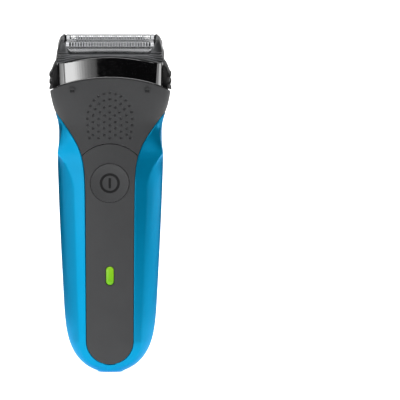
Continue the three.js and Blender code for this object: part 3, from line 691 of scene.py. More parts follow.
def stage_finish():
    """White that glows behind and beside the shaver, and is only lit in front and further out."""
    nodes = Nodes("stage_white")
    cloud = nodes.noise(0.7, 2)
    nodes.colour(nodes.mix(cloud, (0.86, 0.86, 0.86), (0.9, 0.9, 0.9)))
    behind = nodes.spread(nodes.axis("Y"), 0.0, 1.0, -0.4, -0.31)
    width = nodes.math("ABSOLUTE", nodes.math("SUBTRACT", nodes.axis("X"), FRAME_CENTRE[0] * MM))
    middle = nodes.spread(width, 1.0, 0.12, 0.17, 0.4)
    nodes.link(nodes.math("MULTIPLY", behind, middle), nodes.shader.inputs["Emission Strength"])
    nodes.set(Roughness=0.9, Specular_IOR_Level=0.1, Emission_Color=(1, 1, 1, 1))
    return nodes.material


def make_stage():
    """A pale floor that sweeps up into a wall at +Y and another at -X, open everywhere else."""
    points, faces = [], []
    spokes, rings = 144, 40
    for i in range(spokes):
        angle = 2 * math.pi * i / spokes
        degrees = math.degrees(angle)
        behind = float(smooth_step(50, 72, degrees) * (1 - smooth_step(104, 122, degrees)))
        beside = float(smooth_step(150, 166, degrees) * (1 - smooth_step(194, 212, degrees)))
        wall = behind + beside
        for j in range(rings + 1):
            run = j / rings
            reach = 0.02 + (1.0 + 0.5 * wall) * run
            height = 1.5 * wall * max(0.0, (run - 0.6) / 0.4) ** 2
            points.append((reach * math.cos(angle), reach * math.sin(angle), height))
    for i in range(spokes):
        for j in range(rings):
            a, b = i * (rings + 1) + j, ((i + 1) % spokes) * (rings + 1) + j
            faces.append((a, a + 1, b + 1, b))
    faces.append([i * (rings + 1) for i in range(spokes)][::-1])
    MATERIALS["stage_white"] = stage_finish()
    floor = mesh_piece("floor", np.array(points), faces, ["stage_white"], sharp=60)


def softbox(name, place, aim, width, height, radiance):
    """A rectangular light that the camera doesn't see, of a given brightness."""
    light = placed(name, bpy.data.lights.new(name, "AREA"))
    light.data.shape = "RECTANGLE"
    light.data.size = width
    light.data.size_y = height
    light.data.energy = radiance * math.pi * width * height
    light.location = place
    light.rotation_euler = (Vector(aim) - Vector(place)).to_track_quat("-Z", "Y").to_euler()
    light.visible_camera = False


def make_lights():
    world = bpy.data.worlds.new("room")
    bpy.context.scene.world = world
    world.use_nodes = True
    background = world.node_tree.nodes["Background"].inputs
    background["Color"].default_value = (0.92, 0.95, 1, 1)
    background["Strength"].default_value = 0.012
    softbox("front", (-0.15, -1.3, 1.2), (0, 0, 0.09), 1.3, 0.9, 2.3)
    softbox("front_right", (0.78, -0.78, 0.62), (0, 0, 0.09), 0.45, 0.5, 2.6)
    softbox("back_left", (-0.77, 0.29, 0.98), (0, 0, 0.14), 0.5, 0.5, 2.0)
    softbox("top", (0, -0.1, 1.3), (0, 0, 0), 1.1, 1.1, 2.4)
    # A low wall of light from straight ahead round to the left, brighter further round.
    near, far = Vector((-0.045, -1.0, 0.1)), Vector((-0.87, -0.48, 0.1))
    edges = np.linspace(0, 1, 17) ** 1.5
    for i, (start, end) in enumerate(zip(edges[:-1], edges[1:])):
        middle = near.lerp(far, (start + end) / 2)
        brightness = 0.4 + 3.8 * float(smooth_step(-0.03, 0.45, (start + end) / 2))
        width = float(end - start) * (far - near).length
        softbox(f"left_{i}", middle, middle + Vector((0.53, 0.85, 0)), width, 0.14, brightness)
    for name, degrees, width, brightness in (
            ("left_side", -70, 0.3, 1.7), ("left_back", -90, 0.34, 0.6), ("right_near", 84, 0.3, 1.0),
            ("right_far", 112, 0.6, 2.3)):
        angle = math.radians(degrees)
        softbox(name, (math.sin(angle), -math.cos(angle), 0.1), (0, 0, 0.1), width, 0.16, brightness)
    bpy.context.scene.view_settings.view_transform = "Standard"
    bpy.context.scene.view_settings.look = "None"


# ---------------------------------------------------------------- body shells

def both_sides(half):
    return np.concatenate([-half[::-1], half[1:]])


def toward_three(count, power=2.4):
    """Columns over the outer facet, closer together towards the widest line."""
    return 3 - (1 - np.linspace(0, 1, count)) ** power


def round_back(end, count):
    return 3 + (end - 3) * smooth_step(0, 1, np.linspace(0, 1, count))[1:]


def dimple_centres():
    centres = [(0, -3.05 * row) for row in range(4)]
    for ring in range(1, 5):
        step = 60 / ring
        first = step / 2 if ring % 2 else 0
        for angle in np.radians(np.arange(first, 180.01, step)):
            centres.append((2.67 * ring * math.cos(angle), 3.06 * ring * math.sin(angle)))
        for row in range(1, 4):
            fall = 3.05 * row - (1.52 if ring % 2 else 0)
            tuck = 0.012 * fall**2 if ring == 4 else 0
            centres += [(side * (2.67 * ring - tuck), -fall) for side in (-1, 1)]
    return centres


def dimpled(centres, middle_z, front, radius=0.66, depth=0.42):
    """Relief of small bowls, on the front half or the back half."""
    def relief(x, y, z):
        sunk = np.zeros(len(x))
        facing = (y < SIDE_Y) == front
        for cx, cz in centres:
            near = np.hypot(x - cx, z - middle_z - cz) / radius
            bowl = (1 - np.clip(near, 0, 1) ** 2) ** 0.75
            sunk = np.where((near < 1) & facing, np.maximum(sunk, bowl), sunk)
        return -depth * sunk
    return relief


def make_blue_shell():
    half = np.concatenate([
        np.linspace(0, 1, 13), np.linspace(1, 2, 12)[1:], toward_three(24)[1:], round_back(4, 46)])
    columns = both_sides(np.unique(half))
    rows = np.concatenate([
        [-4, -3, -2, -1.2, -0.6, -0.2], np.arange(0, 2, 0.25), np.arange(2, 6, 0.2), np.arange(6, 20, 0.45),
        np.arange(20, 100, 0.7), np.arange(100, 126, 0.5)])

    def margin(x, y, z):
        outside_front = -front_panel_margin(x, z) - GAP / 2
        outside_rear = -rear_panel_margin(x, z) - GAP / 2
        inside = np.where(y < SIDE_Y, outside_front, outside_rear)
        inside = np.where((z < 40) & (y > SIDE_Y) & (z < REAR_CENTRE_Z - REAR_RADIUS - 3), 9, inside)
        inside = np.where((z < 0.5), np.maximum(inside, 0.6), inside)
        return np.minimum(inside, SHELL_TOP - z)

    shell = clipped_shell(
        "blue_shell_skin", body_point, columns, rows, margin, in_body, "blue_plastic")
    finished(shell, "body", "blue_shell")


def make_front_grip():
    half = np.concatenate([
        np.linspace(0, 1, 90), np.linspace(1, 2, 12)[1:], toward_three(26)[1:], [3.05, 3.12, 3.2, 3.3, 3.4]])
    columns = both_sides(np.unique(half))
    rows = np.concatenate([
        np.arange(100, 108.5, 0.45), np.arange(108.5, 134, 0.21), np.arange(134, 140.6, 0.3)])

    def margin(x, y, z):
        over_seam = np.where(z > SEAM_CENTRE_Z, np.hypot(x, z - SEAM_CENTRE_Z) - SEAM_RADIUS - GAP / 2, -1)
        return np.minimum.reduce([
            front_panel_margin(x, z) - GAP / 2, over_seam, SIDE_Y - GAP / 2 - y, neck_arc(x) - z])

    skin = clipped_shell(
        "front_grip_outer", body_point, columns, rows, margin, in_body, "soft_grip",
        relief=dimpled(dimple_centres(), DIMPLE_CENTRE_Z, True, radius=0.64, depth=0.7), roll=0.25)
    nubs = [make_nub(side) for side in (-1, 1)]
    panel = joined("front_grip_skin", [skin, *nubs])
    finished(panel, "body", "front_grip_panel")


def make_nub(side):
    """A small hooked stop on the neck: a rounded brow over an undercut slope, whose faces take near-black
    material as painted shade.
    """
    x, z = 17.8 * side, 134.2
    y = body_surface_y(x, z)
    profile = [(-0.6, 1.2), (0.1, 1.2), (0.6, 0.95), (1.35, 0.4), (1.4, 0.2), (1.2, -0.05), (0.0, -1.3),
               (-0.6, -1.3)]
    points, faces = prism([(y - out, z + up) for out, up in profile], x - 1.05, x + 1.05, "x")
    centres = [np.mean([points[k] for k in face], axis=0) for face in faces]
    # Faces below the nub's middle take the near-black material: painted shade under the brow.
    under = [int(len(face) == 4 and middle[2] < z) for face, middle in zip(faces, centres)]
    return mesh_piece("nub", in_body(points), faces, ["soft_grip", "icon_dark"], under)


def body_surface_y(x, z):
    """Where the front of the body lies at (x, z)."""
    s = np.linspace(0, 3, 400)
    points = body_outline(s, np.full(400, float(z)))
    return float(np.interp(abs(x), points[:, 0], points[:, 1]))


def make_control_panel():
    half = np.concatenate([np.linspace(0, 1, 34), np.linspace(1, 2, 8)[1:]])
    columns = both_sides(half)
    rows = np.concatenate([
        np.arange(3.3, 6, 0.15), np.arange(6, 41, 0.45), np.arange(41, 51, 0.3), np.arange(51, 80, 0.6),
        np.arange(80, 110, 0.35)])

    def margin(x, y, z):
        under_seam = np.where(z > SEAM_CENTRE_Z, SEAM_RADIUS - GAP / 2 - np.hypot(x, z - SEAM_CENTRE_Z), 9)
        round_button = np.hypot(x, z - BUTTON_Z) - BUTTON_RADIUS - 0.12
        round_light = capsule_distance(x, z - LIGHT_Z, LIGHT_HALF[0] + GAP, LIGHT_HALF[1] - LIGHT_HALF[0])
        return np.minimum.reduce([
            front_panel_margin(x, z) - GAP / 2, under_seam, round_button, round_light])

    panel = clipped_shell(
        "front_control_skin", body_point, columns, rows, margin, in_body, "control_grey",
        roll=0.28)
    finished(panel, "body", "front_control_panel")


def make_rear_panel():
    half = np.concatenate([[2.8, 2.88, 2.94, 2.97, 3], round_back(4, 60)])
    columns = np.concatenate([half, 8 - half[::-1][1:]])
    rows = np.concatenate([np.arange(31, 60, 0.5), np.arange(60, 100, 0.3), np.arange(100, 140.6, 0.5)])

    def margin(x, y, z):
        return np.minimum.reduce([
            rear_panel_margin(x, z) - GAP / 2, y - SIDE_Y - GAP / 2, neck_arc(x) - z])

    dots = [(column * 2.67, row * 3.05 + (1.52 if column % 2 else 0))
            for column in range(-3, 4) for row in range(-5, 6)]
    panel = clipped_shell(
        "rear_grip_skin", body_point, columns, rows, margin, in_body, "soft_grip",
        relief=dimpled(dots, 80, False))
    finished(panel, "body", "rear_grip_panel")


# ---------------------------------------------------------------- power button and charge light

def make_power_button():
    """A shallow dished cap with its power sign sunk in, on a flange behind the panel; the sign's groove
    takes near-black material as painted shade.
    """
    face = -float(front_depth(BUTTON_Z))
    spokes, corner = 144, 0.22
    radii = np.concatenate([np.arange(0.12, 5, 0.14), np.linspace(5, BUTTON_RADIUS - corner, 14)])
    edge = [(BUTTON_RADIUS - corner * (1 - math.sin(a)), corner * (1 - math.cos(a)))
            for a in np.radians([15, 35, 55, 75, 90])]
    angles = np.linspace(0, 2 * math.pi, spokes, endpoint=False)
    points, sunk = [], []

    def dish(radius):
        return face + 1.0 - BUTTON_DISH * (radius / BUTTON_RADIUS) ** 2

    def inside_sign(x, z):
        ring = abs(math.hypot(x, z) - SIGN_RADIUS) - SIGN_LINE
        bar = float(capsule_distance(x, z, SIGN_LINE + 0.02, SIGN_BAR))
        return float(smooth_step(0.12, -0.06, min(ring, bar)))

    for radius in radii:
        for angle in angles:
            x, z = radius * math.cos(angle), radius * math.sin(angle)
            sunk.append(inside_sign(x, z))
            points.append((x, dish(radius) + SIGN_DEPTH * sunk[-1], z))
    for radius, back in edge:
        points += [(radius * math.cos(a), dish(BUTTON_RADIUS) + back, radius * math.sin(a)) for a in angles]
    for radius, back in ((8.8, 1.2), (8.8, 2.2), (8.6, 2.3), (8.6, 3), (10.3, 3.05), (10.3, 3.6)):
        points += [(radius * math.cos(a), face + back, radius * math.sin(a)) for a in angles]
    sunk += [0] * (len(points) - len(sunk))
    levels = len(points) // spokes
    faces, dark = [], []
    for level in range(levels - 1):
        for i in range(spokes):
            a, b = level * spokes + i, level * spokes + (i + 1) % spokes
            faces.append((a, a + spokes, b + spokes, b))
            # Faces down in the sign's groove take the near-black material: painted shade.
            dark.append(int(sum(sunk[k] for k in faces[-1]) > 2))
    faces.append(list(range(spokes)))
    faces.append([(levels - 1) * spokes + i for i in range(spokes)][::-1])
    dark += [1, 0]
    place = np.array(points) + (0, 0, BUTTON_Z)
    button = mesh_piece(
        "power_button_cap", in_body(place), faces, ["control_grey", "icon_dark"], dark)
    finished(button, "power_button", "power_button")


def make_light_lens():
    """The charge light's pill, crowned across."""
    face = -float(front_depth(LIGHT_Z))
    straight = LIGHT_HALF[1] - LIGHT_HALF[0]
    outline = []
    for sign, start in ((1, 0), (-1, 180)):
        for angle in np.radians(np.linspace(start, start + 180, 17)):
            outline.append((math.cos(angle), math.sin(angle), sign))
    rings = []
    for size, out in ((0.05, 0.32), (0.35, 0.3), (0.6, 0.25), (0.8, 0.14), (0.92, 0.02), (0.98, -0.15),
                      (1, -0.4), (1, -3.8)):
        r = LIGHT_HALF[0] * size
        rings.append([(c * r, face - out, LIGHT_Z + s * r + sign * straight) for c, s, sign in outline])
    points, faces = skinned(rings[::-1])
    lens = mesh_piece("light_lens_pill", in_body(points), faces, ["light_green"])
    finished(lens, "body", "light_lens")


# ---------------------------------------------------------------- head frame

frame_front = curve_through((-13, 14.9), (-8, 18.1), (-3, 16.45), (0, 15.5), (5, 14.0), (11, 12.3))
frame_back = curve_through((-13, 13.8), (0, 13.8), (5, 13.5), (11, 12.9))


def frame_point(quarters, h, inset=0.0):
    """A point of the head frame. A quarter of the way round is 1, starting on the right."""
    whole = np.floor(quarters)
    angle = (whole + smooth_step(0, 1, quarters - whole)) * math.pi / 2
    c, s = np.cos(angle), np.sin(angle)
    c, s = np.where(np.abs(c) < 1e-9, 0, c), np.where(np.abs(s) < 1e-9, 0, s)
    depth = np.where(s < 0, frame_front(h), frame_back(h)) - inset
    return np.stack([
        (FRAME_HALF_WIDTH - inset) * signed_power(c, 0.5), depth * signed_power(s, 0.5), h + 0 * c], -1)


def body_height(v, h):
    """The body's own z at a place in the head."""
    return HEAD_ORIGIN[2] + v * math.sin(HEAD_TILT) + h * math.cos(HEAD_TILT)


def above_neck(margin):
    """A block that starts at a margin over the neck's arc, in head coordinates."""
    reach, far = 34, 200
    outline = [(a, float(neck_arc(a)) + margin) for a in np.linspace(-reach, reach, 48)]
    outline += [(reach, far), (-reach, far)]
    points, faces = prism(outline, -60, 60, "v")
    y, z = points[:, 1] - HEAD_ORIGIN[1], points[:, 2] - HEAD_ORIGIN[2]
    cos, sin = math.cos(HEAD_TILT), math.sin(HEAD_TILT)
    return np.stack([points[:, 0], y * cos + z * sin, z * cos - y * sin], -1), faces


def block(x, v, h):
    return prism([(x[0], v[0]), (x[1], v[0]), (x[1], v[1]), (x[0], v[1])], h[0], h[1], "h")


def sided(side, low, high):
    return tuple(sorted((side * low, side * high)))


# h of a pad's lower and upper edge, half its depth, x of its back and of the pocket's floor behind it
PAD = {"low": -11.5, "high": 3.4, "half": 6.0, "back": 25.2, "floor": 23.4, "travel": 1.2}
STEM_PLACE = -3.2  # h of the stems and their springs
STEM_SIDES = 24
CORE_INSET = 0.9  # how far the frame's core stays inside its outer band


def stem_cylinder(side, radius, start, end):
    return prism(circle(0, STEM_PLACE, radius, STEM_SIDES), *sided(side, start, end), "x")


def frame_top_outline(margin, far):
    """The frame's curved top edge, moved by a margin, as an outline that closes at a far level."""
    edge = [(a, float(frame_top(a)) + margin) for a in np.linspace(30, -30, 40)]
    return [(-30, far), (30, far)] + edge


def make_head_frame():
    quarters = np.linspace(0, 4, 161)
    rows = np.arange(-9, 11, 0.3)

    def margin(x, v, h):
        pocket = np.maximum(np.abs(v) - PAD["half"], h - PAD["high"]) - GAP
        pocket = np.where(np.abs(x) > 20, pocket, 9)
        return np.minimum.reduce([
            body_height(v, h) - neck_arc(x) - GAP, frame_top(x) - h, pocket])

    band = clipped_shell(
        "frame_band", frame_point, quarters, rows, margin, in_head, "gloss_black", roll=0.3,
        wall=0.8)

    levels = np.linspace(-13, 10.5, 14)
    ring = np.linspace(0, 4, 96, endpoint=False)
    solid = skinned([frame_point(ring, np.full(len(ring), h), CORE_INSET) for h in levels])
    under_top = prism(frame_top_outline(-0.35, -40), -60, 60, "v")
    holes = [
        prism(rounded_rectangle(22, 11.7, 3), DECK[1], 20, "h"),
        prism(rounded_rectangle(20.2, 10.2, 3), -30, DECK[0], "h")]
    holes += [prism(circle(0, v, radius), -5, 5, "h")
              for v, radius in ((-FOIL_OFFSET, 2.6), (FOIL_OFFSET, 2.6), (0, 2.4))]
    for side in (-1, 1):
        holes.append(block(
            sided(side, PAD["floor"], 40), (-PAD["half"] - GAP, PAD["half"] + GAP),
            (PAD["low"] - 5, PAD["high"] + GAP)))
        holes.append(stem_cylinder(side, 1.3, 15, 30))
        holes.append(block(sided(side, 15.8, 19.3), (-2.4, 2.4), (-2, 5)))
    core = carved(
        "frame_core", solid, holes, "gloss_black", keep=[above_neck(0.4), under_top])
    parts = [band, core]
    for side in (-1, 1):
        outline = [(24, -13), (27.6, -13), (27.6, -8), (27.2, -5), (26.2, -2.5), (25.2, -0.5), (24, 0)]
        edge = PAD["half"] + GAP
        shoulder = prism([(side * x, h) for x, h in outline], edge, edge + 2.2, "v")
        parts.append(carved("shoulder", shoulder, [], "gloss_black", keep=[above_neck(GAP)]))
    finished(joined("head_frame_shell", parts), "body", "head_frame")


def make_release_pad(name, side):
    """A pad with three grip ribs, crowned from front to back, on its stem."""
    low, high, back = PAD["low"], PAD["high"], PAD["back"]
    profile = [(back, low), (28.2, low), (28.5, -10.4)]
    for h in (-9.5, -6.0, -2.5):
        profile += [(29.0, h - 0.35), (29.2, h), (29.05, h + 0.25), (28.5, h + 0.6), (28.4, h + 1.2)]
    profile += [
        (28.1, -0.9), (27.7, 0.4), (27.1, 1.7), (26.5, 2.7), (26.0, 3.2), (25.6, high), (back, high)]
    rings = []
    for v in PAD["half"] * np.sin(np.linspace(-math.pi / 2, math.pi / 2, 25)):
        crown = 1 - 0.45 * abs(v / PAD["half"]) ** 5
        rings.append([(side * (back + (x - back) * crown), v, h) for x, h in profile])
    points, faces = skinned(rings)
    if side > 0:
        faces = [f[::-1] for f in faces]
    clearance = GAP + 0.37 * PAD["travel"]
    spring_pocket = stem_cylinder(side, 2.4, 24, 27.1)
    pad = carved("pad", (points, faces), [spring_pocket], "inner_plastic", keep=[above_neck(clearance)])
    stem_points, stem_faces = stem_cylinder(side, 1.0, 19.3, 27.3)
    stem = mesh_piece("stem", in_head(stem_points), stem_faces, ["inner_plastic"])
    finished(joined(f"{name}_pad", [pad, stem]), name.replace("_button", ""), name)


# ---------------------------------------------------------------- foil cassette

cassette_half = curve_through(
    (4, 26.3), (5.4, 26.3), (7, 26.05), (8.8, 25.5), (10, 25.2), (11.4, 24.85), (13.5, 24.2), (14.8, 23.7),
    (15.3, 23.3), (15.7, 22.6))
cassette_depth = curve_through(
    (0, 12.7), (9.3, 12.7), (10.6, 12.4), (12.2, 11.5), (13.8, 10), (15, 8.4), (15.7, 7))
CASSETTE_TOP = 15.7
# The opening in the cassette's face: half width at the sill, h of the sill, and the sides' slant outwards
WINDOW = {"half": 19.0, "sill": 10.6, "slant": 0.5556, "cosine": 0.874}
LAMELLAE = 4


def lamella_bounds(x):
    low = frame_top(np.minimum(np.abs(x), FRAME_HALF_WIDTH)) + GAP
    return low, low + 0.25 + 4.75 * smooth_step(2, 26, np.abs(x))


def cassette_outline(quarters, half, depth, radius):
    """A point of a rounded rectangle, a quarter of the way round being 1 and starting on the right."""
    whole = np.floor(quarters)
    m = quarters - whole
    m = np.where(whole % 2 == 1, 1 - m, m)
    side = np.clip(m / 0.2, 0, 1)
    turn = np.clip((m - 0.2) / 0.25, 0, 1) * math.pi / 2
    front = np.clip((m - 0.45) / 0.55, 0, 1)
    x = np.where(m < 0.45, half - radius + radius * np.cos(turn), (half - radius) * (1 - front))
    v = np.where(m < 0.2, (depth - radius) * side, depth - radius + radius * np.sin(turn))
    quadrant = whole % 4
    return np.where((quadrant == 1) | (quadrant == 2), -x, x), np.where(quadrant >= 2, -v, v)


def cassette_height(quarters, k):
    """Rows from 0 to 1 run up the lamellae and rows from 1 to 2 up the face."""
    x, _ = cassette_outline(quarters, 26.0, 12.7, 5.5)
    low, high = lamella_bounds(x)
    return np.where(k <= 1, low + (high - low) * k, high + (CASSETTE_TOP - high) * (k - 1))


def cassette_point(quarters, k):
    h = cassette_height(quarters, k)
    radius = np.minimum(5.5, cassette_depth(h) - 1.5)
    x, v = cassette_outline(quarters, cassette_half(h), cassette_depth(h), radius)
    return np.stack([x, v, h], -1)


def cassette_relief(x, _, h):
    """Thin lamellae under the face, fading out towards the middle."""
    low, high = lamella_bounds(x)
    place = (h - low) / (high - low)
    rounds = np.abs(np.sin(np.clip(place, 0, 1) * math.pi * LAMELLAE)) ** 0.6
    strength = smooth_step(8, 18, np.abs(x))
    sunk = 0.45 + 0.75 * strength * (1 - rounds)
    return -sunk * smooth_step(1.04, 0.97, place)


def make_cassette():
    quarters = np.linspace(0, 4, 281)
    rows = np.concatenate([np.linspace(-0.02, 1, 50), np.linspace(1, 2, 56)[1:]])

    def margin(x, v, h):
        beside = (np.abs(x) - WINDOW["half"] - (h - WINDOW["sill"]) * WINDOW["slant"]) * WINDOW["cosine"]
        window = smooth_max(WINDOW["sill"] - h, beside, 0.6)
        return np.minimum.reduce([window, CASSETTE_TOP - h, h - lamella_bounds(x)[0] + 0.02])

    shell = clipped_shell(
        "cassette_skin", cassette_point, quarters, rows, margin, in_head, "cassette_grey",
        relief=cassette_relief, roll=0.28, wall=0.6)

    solid = prism(rounded_rectangle(23.8, 11.3, 4.6), DECK[1] + 0.4, 10.4, "h")
    upper_bay = block((-21.7, 21.7), (-9.5, 9.5), (7.1, 30))
    bays = [
        block((-20.9, 20.9), (-9.5, 9.5), (4, 30)), upper_bay, block((-19.4, 19.4), (-8.3, 8.3), (-5, 5))]
    bays += [block(sided(side, 18, 20.9), (-2.4, 2.4), (2.4, 5)) for side in (-1, 1)]
    fits = prism(rounded_rectangle(21.6, 11.3, 2.7), -5, 30, "h")
    core = carved("cassette_core", solid, bays, "cassette_grey", keep=[fits])

    ledge_solid = prism(rounded_rectangle(24.8, 11.6, 4.8), 4, 10.3, "h")
    over = prism(frame_top_outline(GAP, 40), -60, 60, "v")
    bay = block((-20.9, 20.9), (-9.5, 9.5), (0, 30))
    ledge = carved("cassette_ledge", ledge_solid, [bay, upper_bay], "cassette_grey", keep=[over])
    horns = []
    for side in (-1, 1):
        outline = [
            (21.7, 10.2), (24.3, 10.2), (23.9, 12), (23.2, 14), (22.4, 15.3), (21.8, 15.3), (21.7, 15)]
        points, faces = prism([(side * a, h) for a, h in outline], -6.8, 6.8, "v")
        horns.append(mesh_piece("horn", in_head(points), faces, ["cassette_grey"]))
    housing = joined("cassette_housing", [shell, core, ledge, *horns])
    finished(housing, "cassette", "cassette_frame")


# ---------------------------------------------------------------- foils and trimmer

def arch_place(along, centre_v, radius, foot):
    """(v, h) at a length along an arch with straight legs, from its front foot."""
    leg = FOIL_CENTRE - foot
    angle = np.clip((along - leg) / radius, 0, math.pi)
    past = np.clip(along - leg - math.pi * radius, 0, None)
    v = centre_v - radius * np.cos(angle)
    h = np.where(along < leg, foot + along, FOIL_CENTRE + radius * np.sin(angle) - past)
    return v, h


def foil_rows():
    """(start, end, kind) of each row over the arch: plain, holes or slots."""
    rows = [(0.0, 1.7, "plain")]
    at = 1.7
    for kind, count, height in (("holes", 5, 0.62), ("slots", 3, 2.55), ("holes", 5, 0.62)):
        for _ in range(count):
            rows.append((at, at + height, kind))
            at += height
    length = 2 * (FOIL_CENTRE - FOIL_FOOT) + math.pi * FOIL_RADIUS
    rows.append((at, length, "plain"))
    return rows


def foil_sheet(centre_v):
    """Points and faces of the perforated foil, laid in staggered cells that share their edges."""
    half_count = round((FOIL_HALF_LENGTH - FOIL_MARGIN) / FOIL_PITCH)
    field = half_count * FOIL_PITCH
    points, index, faces = [], {}, []

    def vertex(x, t):
        key = (round(x, 4), round(t, 4))
        if key not in index:
            v, h = arch_place(t, centre_v, FOIL_RADIUS - FOIL_THICKNESS / 2, FOIL_FOOT)
            index[key] = len(points)
            points.append((x, float(v), float(h)))
        return index[key]

    def face(ring):
        ids = [vertex(x, t) for x, t in ring]
        faces.append([a for a, b in zip(ids, ids[1:] + ids[:1]) if a != b])

    def cell(x0, x1, t0, t1, kind, steps):
        """One brick of the staggered pattern, with or without its hole."""
        side = np.linspace(t0, t1, steps + 1)
        middle = (x0 + x1) / 2
        outline = [(x0, t0), (middle, t0)] + [(x1, t) for t in side] + [(middle, t1)]
        outline += [(x0, t) for t in side[::-1][:-1]]
        if kind == "plain":
            face(outline)
            return
        bar, bridge = (0.12, 0.1) if kind == "holes" else (0.21, 0.16)
        reach = 0.24 * (x1 - x0)
        inner_side = np.linspace(t0 + bridge + 0.35 * reach, t1 - bridge - 0.35 * reach, steps + 1)
        hole = [(x0 + bar, inner_side[0]), (middle, t0 + bridge)] + [(x1 - bar, t) for t in inner_side]
        hole += [(middle, t1 - bridge)] + [(x0 + bar, t) for t in inner_side[::-1][:-1]]
        count = len(outline)
        for i in range(count):
            j = (i + 1) % count
            face([outline[i], outline[j], hole[j], hole[i]])

    for number, (t0, t1, kind) in enumerate(foil_rows()):
        steps = {"plain": 4, "holes": 2, "slots": 8}[kind]
        offset = FOIL_PITCH / 2 if number % 2 else 0
        edges = np.arange(-field + offset, field - offset + 1e-6, FOIL_PITCH)
        for x0, x1 in zip(edges[:-1], edges[1:]):
            cell(x0, x1, t0, t1, kind, steps)
        side = np.linspace(t0, t1, steps + 1)
        ends = [[(-FOIL_HALF_LENGTH, ta), (-field, ta), (-field, tb), (-FOIL_HALF_LENGTH, tb)]
                for ta, tb in zip(side[:-1], side[1:])]
        if offset:
            ends.append(
                [(-field, t) for t in side[::-1]] + [(-field + offset, t0), (-field + offset, t1)])
        for ring in ends:
            face(ring)
        for ring in ends:
            face([(-x, t) for x, t in ring[::-1]])
    return np.array(points), faces


def thickened(name, points, faces, thickness, slot):
    """A sheet in head coordinates given a thickness, half of it on each side."""
    piece = mesh_piece(name, in_head(points), faces, [slot], sharp=FOIL_SMOOTH_ANGLE)
    bm = bmesh.new()
    bm.from_mesh(piece.data)
    bmesh.ops.recalc_face_normals(bm, faces=bm.faces)
    bm.to_mesh(piece.data)
    bm.free()
    modifier = piece.modifiers.new("thickness", "SOLIDIFY")
    modifier.thickness = thickness * MM
    modifier.offset = 0
    mesh = evaluated_mesh(piece)
    piece.modifiers.clear()
    piece.data = shaded(mesh, FOIL_SMOOTH_ANGLE)
    return piece


def make_foil(side, centre_v):
    points, faces = foil_sheet(centre_v)
    foil = thickened(f"{side}_foil_sheet", points, faces, FOIL_THICKNESS, "foil_steel")
    finished(foil, f"{side}_foil", f"{side}_foil")


def arch(centre_v, radius, foot, count):
    """(v, h) over a half circle under a foil, from foot to foot."""
    over = [(centre_v + radius * math.cos(a), FOIL_CENTRE + radius * math.sin(a))
            for a in np.linspace(0, math.pi, count)]
    return [(centre_v + radius, foot)] + over + [(centre_v - radius, foot)]


def merged(shapes):
    """Several points-and-faces shapes as one."""
    points, faces, first = [], [], 0
    for shape_points, shape_faces in shapes:
        points.append(shape_points)
        faces += [[i + first for i in f] for f in shape_faces]
        first += len(shape_points)
    return np.concatenate(points), faces


def make_cutter(side, centre_v):
    """Arched blades on a spine that the drive pin moves."""
    half, blade_half, count = CUTTER_HALF_LENGTH, 0.14, 33
    profile = arch(centre_v, 2.55, 9.6, 15) + arch(centre_v, 1.7, 9.6, 15)[::-1]
    places = [-half + 0.2 + i * (2 * half - 0.4) / (count - 1) for i in range(count)]
    points, faces = merged([prism(profile, x - blade_half, x + blade_half, "x") for x in places])
    pieces = [mesh_piece("blades", in_head(points), faces, ["blade_steel"])]
    socket = prism(circle(0, centre_v, 1.3, 28), 5, 10.6, "h")
    points, faces = prism(rounded_rectangle(half, 2.1, 1.2), 6.8, 9.9, "h")
    spine = (points + (0, centre_v, 0), faces)
    rail = prism(arch(centre_v, 2.0, 9.8, 17), -half + 0.1, half - 0.1, "x")
    pieces += [carved("core", solid, [socket], "inner_plastic") for solid in (spine, rail)]
    finished(
        joined(f"{side}_cutter_blades", pieces), f"{side}_cutter", f"{side}_cutter_block")


def make_cutter_spring(side, centre_v):
    """A coil round the drive pin."""
    turns, wire, radius, low, high = 3, 0.25, 1.7, 3.1, 6.6
    rings = []
    for turn in np.linspace(0, turns, turns * 24 + 1):
        angle = 2 * math.pi * turn
        h = low + wire + (high - low - 2 * wire) * turn / turns
        rings.append([
            ((radius + wire * math.cos(a)) * math.cos(angle),
             centre_v + (radius + wire * math.cos(a)) * math.sin(angle),
             h + wire * math.sin(a)) for a in np.linspace(0, -2 * math.pi, 8, endpoint=False)])
    points, faces = skinned(rings)
    spring = mesh_piece(f"{side}_cutter_coil", in_head(points), faces, ["spring_steel"])
    finished(spring, "drive_bridge", f"cutter_spring_{side}")
    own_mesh(spring)


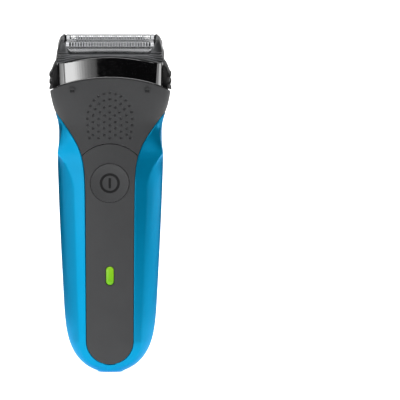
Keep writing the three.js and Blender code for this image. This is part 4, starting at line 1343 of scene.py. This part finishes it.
def make_trimmer():
    """The long-hair comb: cross bars over the blade, a bright strip along the top and end blocks."""
    top, low = 14.4, 13.95
    half, pitch, bar_half = 17.5, 1.25, 0.27
    profile = [(-1.5, 11.2), (-1.5, 13.3), (-1.3, 13.9), (-0.9, 14.2), (0.2, top), (1.2, top), (1.5, 14.1),
               (1.5, 11.2), (1.15, 11.2), (1.15, low), (-0.8, low - 0.2), (-1.15, 13.3), (-1.15, 11.2)]
    places = [-half + i * pitch for i in range(int(2 * half / pitch) + 1)]
    bars = [prism(profile, x - bar_half, x + bar_half, "x") for x in places]
    bars += [block((-17.6, 17.6), sided(side, 1.12, 1.48), (8.5, 11.6)) for side in (-1, 1)]
    strip = [(0.1, low), (1.25, low), (1.25, top - 0.1), (1.15, top), (0.2, top), (0.1, top - 0.1)]
    cap = [prism(strip, -20.3, 20.3, "x")]
    cap += [block(sided(side, 17.5, 20.4), (-1.5, 1.5), (6, 14.2)) for side in (-1, 1)]
    pieces = []
    for name, shapes, slot in (("trimmer_cap", cap, "foil_steel"), ("trimmer_bars", bars, "blade_steel")):
        points, faces = merged(shapes)
        pieces.append(mesh_piece(name, in_head(points), faces, [slot]))
    finished(joined("trimmer_comb_bars", pieces), "middle_trimmer", "middle_trimmer_comb")


# ---------------------------------------------------------------- CAD nodes that stay

def finish_cad_nodes():
    """Gives every CAD node the procedural material of its slot."""
    slots = sorted(MATERIALS, key=len, reverse=True)
    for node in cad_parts.values():
        for place in node.material_slots:
            slot = next((s for s in slots if place.material and s in place.material.name), None)
            if slot:
                place.material = MATERIALS[slot]


# ---------------------------------------------------------------- assembly

make_camera()
make_stage()
make_lights()
make_blue_shell()
make_front_grip()
make_control_panel()
make_rear_panel()
make_power_button()
make_light_lens()
make_head_frame()
make_release_pad("release_button_left", -1)
make_release_pad("release_button_right", 1)
make_cassette()
for side, centre_v in (("front", -FOIL_OFFSET), ("rear", FOIL_OFFSET)):
    make_foil(side, centre_v)
    make_cutter(side, centre_v)
    make_cutter_spring(side, centre_v)
make_trimmer()
finish_cad_nodes()
